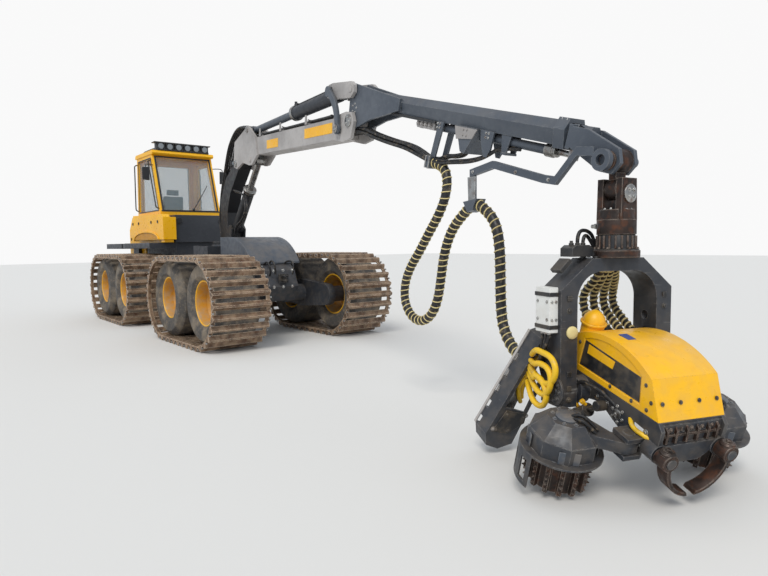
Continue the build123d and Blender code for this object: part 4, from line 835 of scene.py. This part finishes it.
def dress_yoke():
    valve = Shape(yoke)
    valve.plate(
        [(-340, 1512), (-168, 1512), (-168, 1566), (-200, 1592), (-310, 1592), (-340, 1570)], -160, -20, "x"
    )
    valve.plate([(-408, 1400), (-330, 1480), (-352, 1502), (-430, 1424)], -150, -30, "x")
    for y in (-300, -250, -205):
        valve.fitting((-90, y, 1590), (-90, y, 1622), 18, 12)
    valve.finish("yoke_valve", "yoke", "black_paint", 5)
    fasteners = Shape(yoke)
    for y in (-395, 395):
        for z in (1235, 720, 620):
            fasteners.plate(corners_of((y - 17, z - 17), (y + 17, z + 17)), 29, 40, "x")
        fasteners.bolt((30, y, 540), to_front, 14, 11)
        fasteners.bolt((30, y, 1150), to_front, 14, 11)
    fasteners.bolt_ring((-85, 0, 1500), to_top, 176, 10, 12, 10)
    fasteners.finish("yoke_bolts", "yoke", "black_paint", 2)
    cap = Shape(yoke)
    cap.turned((29, -374, 1002), (46, -374, 1002), [(0, 44), (0.5, 44), (0.8, 38), (1, 20)], 28)
    cap.finish("yoke_cap", "yoke", "guard", 1)
    pivots = Shape(yoke)
    for side in (-1, 1):
        face = side * 460
        pivots.cap((-20, face, 600), (-20, face + side * 22, 600), 98, 86, 0.7, 36)
        pivots.turned((-20, face + side * 22, 600), (-20, face + side * 30, 600), [(0, 44), (1, 38)], 24)
        pivots.bolt_ring((-20, face + side * 22, 600), (0, side, 0), 66, 8, 12, 10)
    pivots.finish("yoke_pivot_caps", "yoke", "dark_paint", 2)
    straps = Shape(yoke)
    for z in (1040, 1262):
        straps.block((-174, -534, z - 14), (4, -456, z + 14))
    straps.finish("head_box_straps", "yoke", "black_paint", 2)
    lid = Shape(yoke)
    for x in (-140, -30):
        for z in (1090, 1212):
            lid.bolt((x, -530, z), to_right, 8, 6)
    for y in (-512, -480):
        for z in (1090, 1212):
            lid.bolt((0, y, z), to_front, 7, 6)
    for x in (-130, -90, -50):
        lid.fitting((x, -495, 1001), (x, -495, 968), 17, 12)
    lid.finish("head_box_bolts", "yoke", "steel", 1)
    leads = [
        [(-130, -495, 985), (-135, -500, 880), (-190, -480, 760), (-215, -430, 640), (-215, -400, 560)],
        [(-90, -495, 985), (-92, -505, 900), (-150, -495, 800), (-190, -460, 700), (-205, -400, 610)],
        [(-50, -495, 985), (-60, -505, 920), (-120, -505, 850), (-180, -470, 780), (-205, -400, 700)],
        [(-90, -205, 1610), (-90, -200, 1650), (-110, -160, 1660), (-120, -120, 1620), (-110, -90, 1560)],
        [(-90, -250, 1610), (-90, -250, 1680), (-110, -170, 1700), (-120, -90, 1650), (-130, -70, 1560)]
    ]
    hoses("yoke_black_hoses", yoke, leads, 13, "yoke")


def dress_arch_hoses():
    """Guarded hoses that loop from the rotator down to the cover."""
    routes = []
    for index, y in enumerate((-40, 60, 160, 255)):
        high, back = 1330 + 12 * index, -300 - 14 * index
        routes.append(
            [
                (-110, 0.3 * y, 1440), (-190, 0.6 * y, high), (back, y, 1240), (back - 10, y + 10, 1130),
                (-250, y + 12, 1040), (-130, y, 965)
            ]
        )
    start, end = yoke @ Vector((-0.25, 0, 1.25)), yoke @ Vector((-0.10, 0, 0.93))
    hoses("arch_hoses", yoke, routes, 27, "yoke", across=("head", start, end))
    guard = Shape(Matrix())
    for route in routes:
        line_curve = curve_tubes("arch_line", [[yoke @ millimetres @ Vector(point) for point in route]], 0.01)
        guard.tube(wound(line_of(line_curve), 0.029, 0.044, 10), 7, 5)
        bpy.data.objects.remove(line_curve)
    guard.finish_blended("arch_hose_guards", start, end, "guard")


def dress_head():
    for side, name in sides:
        inset = Shape(head)
        inset.plate([(472, 352), (510, 198), (-82, 148), (-73, 337)], *beside(side, 242, 246))
        inset.finish("cover_inset_" + name, "head", "black_paint", 1)
        label = Shape(head)
        label.plate([(-30, 325), (240, 333), (232, 275), (-30, 258)], *beside(side, 245, 248))
        label.finish("cover_label_" + name, "head", "yellow_paint", 0.5)
    top = Shape(head)
    top.plate([(108, 448), (200, 455), (200, 465), (108, 460)], -150, -86)
    top.finish("cover_top_label", "head", "blue_label", 0.5)
    seam = Shape(head)
    for y in (-205, -70, 70, 205):
        seam.bolt((640, y, 262), (0.87, 0, 0.5), 9, 6)
    for u, v in ((-140, 140), (-120, 300), (250, 160), (450, 175), (580, 190), (600, 250), (530, 330)):
        for side in (-1, 1):
            seam.bolt((u, side * 249, v), (0, side, 0), 9, 6)
    seam.finish("cover_fasteners", "head", "black_paint", 1)
    dome = Shape(head)
    dome.turned(
        (-150, -150, 330), (-150, -150, 520), [(0, 78), (0.55, 78), (0.75, 70), (0.9, 46), (1, 14)], 32
    )
    dome.rod((-150, -150, 420), (-150, -150, 436), 90, 32)
    dome.finish("cover_dome", "head", "yellow_paint", 4)
    frame_bolts = Shape(head)
    for side in (-1, 1):
        for u, v in ((60, 40), (160, 30), (260, 40), (360, 20), (620, 60), (600, -40)):
            frame_bolts.bolt((u, side * 250, v), (0, side, 0), 13, 10)
        frame_bolts.bolt_ring((369, side * 250, 26), (0, side, 0), 52, 6, 9, 8)
        frame_bolts.cap((369, side * 249, 26), (369, side * 258, 26), 34, 28, 0.5)
    frame_bolts.finish("head_frame_bolts", "head", "steel", 1)
    wall = Shape(head)
    for y in (-190, -120, -40, 40, 120, 190):
        wall.plate([(700, 140), (724, 120), (730, 40), (700, 28)], y - 7, y + 7)
    wall.block((698, -232, 78), (716, 232, 94))
    for y in (-155, -80, 0, 80, 155):
        wall.bolt((700, y, 118), to_front, 10, 8)
    wall.finish("front_wall_ribs", "head", "rust_steel", 3)
    cylinder = Shape(head)
    for side in (-1, 1):
        foot, top = Vector((45, side * 292, -170)), Vector((250, side * 292, 18))
        way = (top - foot).normalized()
        cylinder.turned(foot, foot + 150 * way, [(0, 40), (0.9, 40), (0.9, 47), (1, 47)], 28)
        cylinder.rod(foot + 150 * way, top, 20, 20)
        for end in (foot, top):
            cylinder.rod(end + Vector((0, -34, 0)), end + Vector((0, 34, 0)), 34, 24)
    cylinder.finish("tilt_side_cylinders", "head", "black_paint", 3)
    yellow = Shape(head)
    for side in (-1, 1):
        for u, v in ((70, -105), (130, -50)):
            yellow.fitting((u, side * 300, v), (u - 18, side * 330, v + 30), 15, 20)
    yellow.finish("side_cylinder_fittings", "head", "yellow_paint", 2)
    loops = [
        [
            (-330, -470, 110), (-235, -524, 205), (-150, -525, 225), (-30, -530, 250), (45, -530, 200),
            (45, -530, 100), (-50, -530, 26), (-189, -524, 35), (-325, -470, 20)
        ],
        [
            (-330, -470, 60), (-214, -524, 95), (-150, -530, 142), (-32, -536, 168), (30, -536, 107),
            (24, -536, 9), (-45, -532, -56), (-172, -524, -54), (-325, -470, -40)
        ],
        [
            (-325, -470, 0), (-190, -524, -10), (-160, -530, 44), (-56, -534, 45), (15, -534, -26),
            (-5, -530, -117), (-85, -525, -163), (-186, -524, -142), (-325, -470, -110)
        ]
    ]
    hoses("head_yellow_loops", head, loops, 21, "head", "yellow_hose")
    oval = [(470, 238, 60), (510, 270, 52), (560, 272, 40), (610, 270, 44), (650, 238, 30)]
    hoses("head_yellow_hoses", head, both_sides(oval), 15, "head", "yellow_hose")
    cover_hoses = [
        (60, 300, -60), (20, 320, 10), (40, 318, 90), (140, 300, 112), (250, 262, 96), (330, 240, 60)
    ]
    hoses("head_black_hoses", head, both_sides(cover_hoses), 14, "head")


def dress_saw():
    lip = Shape(head)
    shoulder, elbow, window_top, window_low = (-410, 225), (-745, -540), (-440, 90), (-612, -320)
    for (y0, v0), (y1, v1) in ((shoulder, elbow), (window_top, window_low)):
        way = Vector((y1 - y0, v1 - v0)).normalized()
        out = Vector((way.y, -way.x)) * 9
        lip.plate([(y0, v0), (y1, v1), (y1 + out.x, v1 + out.y), (y0 + out.x, v0 + out.y)], -512, -488, "x")
    for y, v in ((-392, 170), (-690, -500), (-420, -420), (-330, 150)):
        lip.bolt((-330, y, v), to_front, 12, 9)
    lip.finish("saw_box_lips", "head", "grey_paint", 3)
    panel = Shape(head)
    panel.plate([(-420, -400), (-600, -350), (-700, -520), (-560, -560), (-430, -480)], -332, -322, "x")
    for y, v in ((-450, -430), (-590, -385), (-665, -505), (-560, -530)):
        panel.bolt((-322, y, v), to_front, 10, 8)
    panel.finish("saw_box_panel", "head", "black_paint", 2)
    routes = [
        [
            (-400, -360, 90), (-395, -410, 40), (-400, -450, -60), (-405, -480, -170), (-410, -470, -280),
            (-420, -430, -350)
        ],
        [(-420, -350, 30), (-415, -390, -40), (-420, -420, -140), (-425, -440, -240), (-430, -420, -320)],
        [(-380, -350, 120), (-370, -400, 80), (-360, -430, 10), (-365, -470, -90), (-380, -500, -190)]
    ]
    hoses("saw_yellow_hoses", head, routes, 17, "head", "yellow_hose")


feed_motor, knife_pin = (335, 600), (786, 225)


def dress_feeders():
    for side, name in sides:
        centre = Vector((feed_motor[0], side * feed_motor[1], 0))
        guard = Shape(head)
        for index, out in enumerate(spokes(8, pi / 8)):
            aside = Vector((-out.y, out.x, 0))
            face = centre + 208 * out
            ring = []
            for reach in (208, 214):
                middle = centre + reach * out
                ring.append(
                    [middle + a * aside + Vector((0, 0, v)) for a, v in corners_of((-66, -180), (66, -96))]
                )
            if index % 2:
                guard.skin(ring)
            guard.bolt(face + Vector((0, 0, -84)) - 36 * out, to_top, 10, 9)
        guard.rod(centre + Vector((0, 0, -192)), centre + Vector((0, 0, -180)), 214, 8)
        guard.cap(centre + Vector((0, 0, 22)), centre + Vector((0, 0, 44)), 74, 60)
        guard.bolt_ring(centre + Vector((0, 0, 24)), to_top, 92, 8, 10, 9)
        guard.finish("feed_guard_plates_" + name, "feed_arm_" + name, "blue_grey_paint", 2)
        motor = [
            [tuple(centre + Vector(point)) for point in leads]
            for leads in (
                [(20, -20 * side, 40), (40, -40 * side, 66), (90, -80 * side, 60), (130, -140 * side, -8)],
                [(50, -10 * side, 40), (80, -20 * side, 58), (120, -60 * side, 46), (150, -110 * side, -8)]
            )
        ]
        hoses("feed_hoses_" + name, head, motor, 12, "feed_arm_" + name)
        spikes = Shape(head)
        for out in spokes(14):
            for v in (-400, -360, -320, -280, -240):
                base = centre + 196 * out + Vector((0, 0, v))
                spikes.turned(base, base + 20 * out, [(0, 12), (1, 3)], 5)
        spikes.finish("feed_spikes_" + name, "feed_roller_" + name, "rust_steel", 0)
        knife = Shape(head)
        foot, top = [Vector((knife_pin[0], side * knife_pin[1], v)) for v in (18, 44)]
        knife.cap(foot, top, 46, 36)
        knife.bolt(top, to_top, 18, 12)
        knife.finish("knife_pin_" + name, "head", "rust_steel", 2)


# Pieces on the carrier

cab_low, cab_front, screen_top = 2370, -1420, (-1850, 3640)
screen_normal = Vector((screen_top[1] - cab_low, 0, cab_front - screen_top[0])).normalized()


def on_screen(y, z, proud=0):
    """Point on the sloping windscreen."""
    share = (z - cab_low) / (screen_top[1] - cab_low)
    return Vector((cab_front + share * (screen_top[0] - cab_front), y, z)) + proud * screen_normal


def dress_cab():
    seals = Shape(chassis)
    seals.border([on_screen(y, z) for y, z in corners_of((-600, 2410), (600, 3580))], 40, screen_normal)
    sill = [on_screen(y, z, 1) for y, z in corners_of((-655, 2374), (655, 2404))]
    seals.skin([sill, [corner + 8 * screen_normal for corner in sill]])
    right_window = [(-1530, 2410), (-1940, 3550), (-2780, 3550), (-2830, 2410)]
    seals.border([(x, -680, z) for x, z in right_window], 24, to_right)
    seals.border([(-2950, y, z) for y, z in corners_of((-540, 2430), (540, 3520))], 24, to_back)
    seals.finish("cab_seals", "rear", "black_paint", 2)
    door_seal = Shape(chassis)
    window = [(-1610, 2200), (-1610, 2400), (-2000, 3470), (-2540, 3470), (-2540, 2200)]
    door_seal.border([(x, 680, z) for x, z in window], 22, (0, 1, 0))
    door_seal.block((-1680, 680, 2090), (-1560, 700, 2130))
    door_seal.block((-1676, 696, 2098), (-1592, 716, 2122))
    door_seal.finish("door_seal", "door", "black_paint", 2)
    rails = [
        [
            (-1500, -676, 2440), (-1485, -752, 2450), (-1510, -752, 2540), (-1700, -752, 3020),
            (-1870, -752, 3440), (-1900, -752, 3510), (-1920, -676, 3520)
        ],
        [
            (-2900, -676, 2440), (-2905, -742, 2450), (-2905, -742, 2560), (-2890, -742, 3000),
            (-2880, -742, 3420), (-2875, -742, 3500), (-2870, -676, 3510)
        ],
        [
            (-2700, 676, 2280), (-2700, 752, 2290), (-2700, 752, 2380), (-2700, 752, 2900),
            (-2700, 752, 3300), (-2700, 752, 3380), (-2700, 676, 3390)
        ],
        [
            (-1960, -560, 3728), (-1960, -560, 3790), (-2040, -560, 3800), (-2600, -560, 3800),
            (-2780, -560, 3790), (-2790, -560, 3728)
        ]
    ]
    rails.append(mirrored(rails[-1]))
    hoses("cab_rails", chassis, rails, 13, "rear", "black_paint")
    lenses = Shape(chassis)
    for y in range(-500, 501, 200):
        for x, way in ((-1762, 1), (-1958, -1)):
            lenses.turned((x, y, 3825), (x + 8 * way, y, 3825), [(0, 62), (0.6, 64), (1, 54)], 28)
    for y in (-470, 470):
        lenses.turned((-922, y, 2150), (-912, y, 2150), [(0, 58), (0.6, 60), (1, 50)], 28)
    lenses.finish("cab_lamp_lenses", "rear", "lens", 1)
    guards = Shape(chassis)
    for y in range(-500, 501, 200):
        guards.border(
            [(-1760, y + a, 3825 + b) for a, b in corners_of((-68, -68), (68, 68))], 8, to_front, 16
        )
    for z in (3750, 3900):
        guards.block((-1756, -590, z - 6), (-1746, 590, z + 6))
    for y in (-470, 470):
        guards.turned((-924, y, 2150), (-906, y, 2150), [(0, 74), (1, 70)], 28)
        guards.block((-980, y - 40, 2080), (-918, y + 40, 2100))
    guards.finish("lamp_guards", "rear", "black_paint", 1.5)
    mirrors = Shape(chassis)
    for side in (-1, 1):
        mirrors.plate(
            [(side * 800, 3050), (side * 950, 3060), (side * 955, 3330), (side * 805, 3340)], -1690, -1655,
            "x"
        )
    mirrors.finish("mirror_heads", "rear", "black_paint", 12)
    glass = Shape(chassis)
    for side in (-1, 1):
        glass.plate(
            [(side * 814, 3066), (side * 938, 3074), (side * 942, 3316), (side * 818, 3326)], -1694, -1689,
            "x"
        )
    glass.finish("mirror_glass", "rear", "steel", 1)
    arms = [
        (-1790, 676, 3400), (-1760, 760, 3410), (-1700, 870, 3400), (-1674, 878, 3340), (-1674, 878, 3250)
    ]
    hoses("mirror_arms", chassis, both_sides(arms), 10, "rear", "black_paint")
    wipers = Shape(chassis)
    base, elbow, tip = on_screen(60, 2420, 20), on_screen(260, 2700, 26), on_screen(460, 2980, 16)
    wipers.rod(base, elbow, 9, 10)
    wipers.rod(elbow, on_screen(380, 2860, 24), 7, 10)
    wipers.cap(base - 18 * screen_normal, base + 12 * screen_normal, 26, 20, 0.7, 20)
    wipers.rod(on_screen(200, 2600, 14), tip, 8, 8)
    wipers.finish("windscreen_wiper", "rear", "black_paint", 1)
    roof = Shape(chassis)
    roof.turned((-2700, 380, 3728), (-2700, 380, 3760), [(0, 34), (0.5, 30), (1, 12)], 20)
    roof.rod((-2700, 380, 3750), (-2760, 380, 3915), 4, 8)
    roof.plate([(-2650, 3728), (-2620, 3775), (-2280, 3775), (-2250, 3728)], -120, 340)
    for x in (-2560, -2500, -2440, -2380, -2320):
        roof.block((x - 8, -80, 3773), (x + 8, 300, 3783))
    roof.finish("roof_fittings", "rear", "black_paint", 6)


def arch(half_width, height, middle=-1990, foot=1772, steps=16):
    """Half ellipse that stands on the side box, seen from the side."""
    turns = [pi * k / steps for k in range(steps + 1)]
    return [(middle - half_width * cos(turn), foot + height * sin(turn)) for turn in turns]


def dress_side_box():
    # Darker ochre plate inside the arch: painted shade where the lip overhangs, not a colour of the side box's own
    painted_shade = Shape(chassis)
    inner, outer = arch(800, 150), arch(850, 190)
    painted_shade.plate(inner, -834, -829)
    painted_shade.finish("side_box_painted_shade", "rear", "rim_paint", 1)
    lip = Shape(chassis)
    lip.plate(outer + inner[::-1], -852, -829)
    lip.finish("side_box_lip", "rear", "yellow_paint", 5)
    bars = Shape(chassis)
    for x in (-2880, -2460, -1600, -1180):
        bars.block((x - 26, -842, 2110), (x + 26, -828, 2170))
        bars.bolt((x, -842, 2140), to_right, 8, 6)
    bars.finish("side_box_latches", "rear", "black_paint", 2)
    treads = Shape(chassis)
    for x in range(-2270, -1729, 45):
        treads.block((x - 7, 1020, 1580), (x + 7, 1235, 1588))
    for side in (-1, 1):
        for x in range(-2800, -1080, 90):
            low, high = beside(side, 850, 1060)
            treads.block((x - 9, low, 1689), (x + 9, high, 1695))
    treads.finish("deck_treads", "rear", "steel", 1)
    rails = [
        [
            (-1060, 1050, 1690), (-1060, 1050, 1800), (-1060, 1050, 2240), (-1070, 1050, 2340),
            (-1200, 1050, 2350), (-1300, 1050, 2340), (-1310, 1050, 2240), (-1310, 1050, 1800),
            (-1310, 1050, 1690)
        ]
    ]
    rails += [
        [(x, 1150, 1560), (x, 1150, 1500), (x, 1160, 1440), (x + way * 40, 1160, 1420), (-2000, 1160, 1418)]
        for x, way in ((-2260, 1), (-1740, -1))
    ]
    hoses("deck_rails", chassis, rails, 14, "rear", "black_paint")


exhaust_place = (-3250, 300)


def dress_hood():
    grille = Shape(chassis)
    grille.border([(-4240, y, z) for y, z in corners_of((-400, 1790), (400, 2230))], 30, to_back, 14)
    for z in range(1810, 2230, 34):
        grille.plate([(-4242, z), (-4254, z - 8), (-4254, z + 4), (-4242, z + 14)], -400, 400)
    for y in (-200, 0, 200):
        grille.block((-4252, y - 8, 1790), (-4240, y + 8, 2230))
    for side in (-1, 1):
        for x in (-4100, -3140):
            low, high = beside(side, 518, 532)
            grille.block((x - 22, low, 1770), (x + 22, high, 1840))
            grille.block((x - 12, low + side * 6, 1784), (x + 12, high + side * 8, 1828))
        low, high = beside(side, 519, 526)
        grille.block((-3980, low, 2180), (-3260, high, 2192))
    grille.finish("hood_grille", "hood", "black_paint", 2)
    exhaust = Shape(chassis)
    exhaust.cap((*exhaust_place, 2326), (*exhaust_place, 2352), 92, 80, 0.6, 32)
    exhaust.bolt_ring((*exhaust_place, 2350), to_top, 76, 6, 9, 7)
    exhaust.cap((*exhaust_place, 2340), (*exhaust_place, 2560), 58, 50, 0.9, 32)
    exhaust.rod((*exhaust_place, 2440), (*exhaust_place, 2470), 64, 32)
    exhaust.finish("exhaust_outlet", "hood", "rust_steel", 3)
    tail = Shape(chassis)
    for y in (-1010, -640):
        tail.block((-4262, y - 46, 1590), (-4250, y + 46, 1670))
    tail.finish("tail_lamp_lenses", "rear", "red", 3)
    rear_end = Shape(chassis)
    for y in (-380, -220, 220, 380):
        for z in (1350, 1500):
            rear_end.bolt((-2900, y, z), to_back, 14, 11)
    rear_end.finish("rear_bolts", "rear", "steel", 1)


bogie_middle, half_bogie, axle_height = 2050, 750, 731.3
rim_edge, link_ring, link_pitch = 349, 697, 187.5


def dress_wheels():
    for body, middle in (("front", bogie_middle), ("rear", -bogie_middle)):
        bolts = Shape(chassis)
        caps = Shape(chassis)
        axles = (middle - half_bogie, middle + half_bogie)
        for x in axles:
            for side in (-1, 1):
                bolts.bolt_ring((x, side * 1268, axle_height), (0, side, 0), 186, 10, 15, 16)
                caps.cap((x, side * 1320, axle_height), (x, side * 1352, axle_height), 98, 78, 0.5, 36)
                caps.bolt_ring((x, side * 1350, axle_height), (0, side, 0), 62, 5, 8, 6)
                caps.turned(
                    (x, side * 1350, axle_height), (x, side * 1362, axle_height), [(0, 22), (1, 16)], 6
                )
        bolts.finish(body + "_wheel_bolts", body, "rust_steel", 1)
        edges = Shape(chassis)
        for x in axles:
            for y in (-1494, -906, 906, 1494):
                ring = [(cos(turn), sin(turn)) for turn in [2 * pi * k / 48 for k in range(49)]]
                round_rim = [Vector((x + rim_edge * a, y, axle_height + rim_edge * b)) for a, b in ring]
                edges.tube([chassis @ millimetres @ point for point in round_rim], 11)
        edges.finish(body + "_rim_edges", body, "yellow_paint", 0)
        pins = Shape(chassis)
        gaps = []
        for way in (-1, 1):
            for turn in [radians(15 * k + 7.5) for k in range(-6, 6)]:
                x = middle + way * (half_bogie + link_ring * cos(turn))
                gaps.append((x, axle_height + link_ring * sin(turn)))
        for way in (-1, 1):
            gaps += [(middle - 656 + link_pitch * k, axle_height + way * link_ring) for k in range(8)]
        for x, z in gaps:
            for side in (-1, 1):
                for low, high in ((722, 740), (1650, 1671)):
                    pins.rod((x, side * low, z), (x, side * high, z), 15, 10)
        pins.finish(body + "_link_pins", body, "steel", 0)
        caps.finish(body + "_hub_caps", body, "rim_paint", 3)


def dress_chassis():
    nose = Shape(chassis)
    for y in (-484, 484):
        for x in (1250, 1600, 1950):
            nose.bolt((x, y, 1290), (0, y, 0), 12, 9)
    for y in (-180, 0, 180):
        nose.bolt((2600, y, 1180), to_front, 18, 14)
        nose.bolt((2600, y, 900), to_front, 18, 14)
    nose.finish("nose_bolts", "front", "steel", 1)
    tow = Shape(chassis)
    tow.plate(corners_of((-90, 960), (90, 1120)), 2598, 2622, "x")
    for z in (1000, 1075):
        tow.plate([(2618, -60), (2700, -50), (2730, 0), (2700, 50), (2618, 60)], z, z + 22, "z")
    tow.rod((2690, 0, 980), (2690, 0, 1120), 18, 20)
    tow.finish("tow_eye", "front", "black_paint", 4)
    loops = [
        [
            (2300, -200, 1250), (2420, -240, 1330), (2540, -250, 1320), (2600, -240, 1220),
            (2570, -220, 1120), (2450, -200, 1060)
        ],
        [(2300, -120, 1250), (2440, -150, 1350), (2570, -170, 1340), (2640, -160, 1230), (2600, -150, 1120)],
        [(2250, 160, 1250), (2400, 200, 1340), (2540, 220, 1330), (2610, 210, 1230), (2590, 190, 1100)],
        [(1300, -300, 1100), (1500, -420, 1160), (1750, -470, 1120), (1950, -430, 1010), (2050, -320, 960)],
        [(1300, -300, 1040), (1520, -440, 1080), (1750, -490, 1040), (1900, -440, 960), (2050, -320, 900)]
    ]
    loops.append(mirrored(loops[3]))
    hoses("front_frame_hoses", chassis, loops, 16, "front")
    steering = [
        [(180, y, 1180), (60, y * 1.1, 1230), (-150, y * 1.15, 1240), (-340, y * 1.1, 1230), (-480, y, 1180)]
        for y in (-250, -205, 205, 250)
    ]
    turn = chassis @ Vector((-0.150, 0, 1.2))
    hoses(
        "steering_hoses", chassis, steering, 18, "front",
        across=("rear", turn + Vector((0.2, 0, 0)), turn + Vector((-0.2, 0, 0)))
    )


# Seat


def cushion(name, low, high, crown):
    """Crowned closed pad whose sides pull in between its corners, with a sewn line round it."""
    pad = bmesh.new()
    bmesh.ops.create_cube(pad, size=2)
    bmesh.ops.subdivide_edges(pad, edges=pad.edges, cuts=5, use_grid_fill=True)
    middle, half = (Vector(low) + Vector(high)) / 2, (Vector(high) - Vector(low)) / 2
    thin = min(range(3), key=lambda axis: half[axis])
    wide = [axis for axis in range(3) if axis != thin]
    for vertex in pad.verts:
        point = vertex.co.copy()
        first, second = (point[axis] for axis in wide)
        bulge = (1 - first**2) * (1 - second**2)
        edge = max(abs(first), abs(second))
        point[thin] *= (1 - crown) + crown * bulge**0.5 if edge < 1 else 1 - crown
        for axis, other in (wide, reversed(wide)):
            point[axis] *= 0.94 + 0.04 * abs(vertex.co[other]) ** 2
        if abs(vertex.co[thin]) < 0.4 and edge == 1:
            point[wide[0]] *= 0.985
            point[wide[1]] *= 0.985
        vertex.co = chassis @ millimetres @ (middle + Vector([point[axis] * half[axis] for axis in range(3)]))
    data = bpy.data.meshes.new(name)
    pad.to_mesh(data)
    pad.free()
    data.shade_smooth()
    data.materials.append(materials["seat"])
    piece = linked(name, data)
    smooth = piece.modifiers.new("round", "SUBSURF")
    smooth.levels = smooth.render_levels = 2
    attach(piece, "rear")
    return piece


def make_seat():
    pads = [
        cushion("seat_cushion", (-2480, -250, 2090), (-1985, 250, 2200), 0.3),
        cushion("seat_back", (-2590, -235, 2210), (-2450, 235, 2800), 0.3),
        cushion("seat_head_rest", (-2590, -140, 2815), (-2490, 140, 2945), 0.35)
    ]
    for side, name in sides:
        low, high = beside(side, 280, 350)
        pads.append(cushion("seat_arm_" + name, (-2400, low, 2385), (-2080, high, 2425), 0.2))
    for pad in pads:
        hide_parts("cab_seat")
    metal = Shape(chassis)
    metal.turned(
        (-2250, 0, 1702), (-2250, 0, 2070), [(0, 150), (0.08, 150), (0.2, 90), (0.8, 90), (1, 130)], 28
    )
    metal.block((-2470, -235, 2060), (-2000, 235, 2088))
    metal.plate(
        [(-2604, 2090), (-2480, 2060), (-2470, 2090), (-2592, 2120), (-2592, 2790), (-2604, 2790)], -200, 200
    )
    for side in (-1, 1):
        metal.block((-2380, side * 315 - 12, 2100), (-2330, side * 315 + 12, 2384))
        low, high = beside(side, 225, 315)
        metal.block((-2380, low, 2070), (-2330, high, 2098))
        metal.turned(
            (-2110, side * 315, 2425), (-2100, side * 315, 2500),
            [(0, 26), (0.3, 16), (0.5, 16), (0.8, 24), (1, 14)], 20
        )
    metal.finish("seat_frame", "rear", "black_paint", 4)


make_camera()
make_stage()
dress_nodes()

clamp_exit = jib @ Vector((1.690, clamp_side, -0.205))
clamp_lead = jib @ Vector((1.840, clamp_side, -0.205))
hanger_points = [clamp_exit, clamp_lead] + [crane @ Vector(point) for point in hanger_route]
head_points = [crane @ Vector(point) for point in head_route]
head_points += [head @ Vector((-0.730, -0.370, -0.070)), head @ Vector((-0.560, -0.370, -0.070))]
free_hose("hanger_hose", hanger_points, "jib", "hose_to_hanger")
free_hose("head_hose", head_points, "telescope", "hose_to_head")
dress_mast()
dress_boom()
dress_jib()
dress_tip()
dress_yoke()
dress_arch_hoses()
dress_head()
dress_saw()
dress_feeders()
dress_cab()
dress_side_box()
dress_hood()
dress_wheels()
dress_chassis()
make_seat()

view = bpy.context.scene.view_settings
view.view_transform = "Standard"
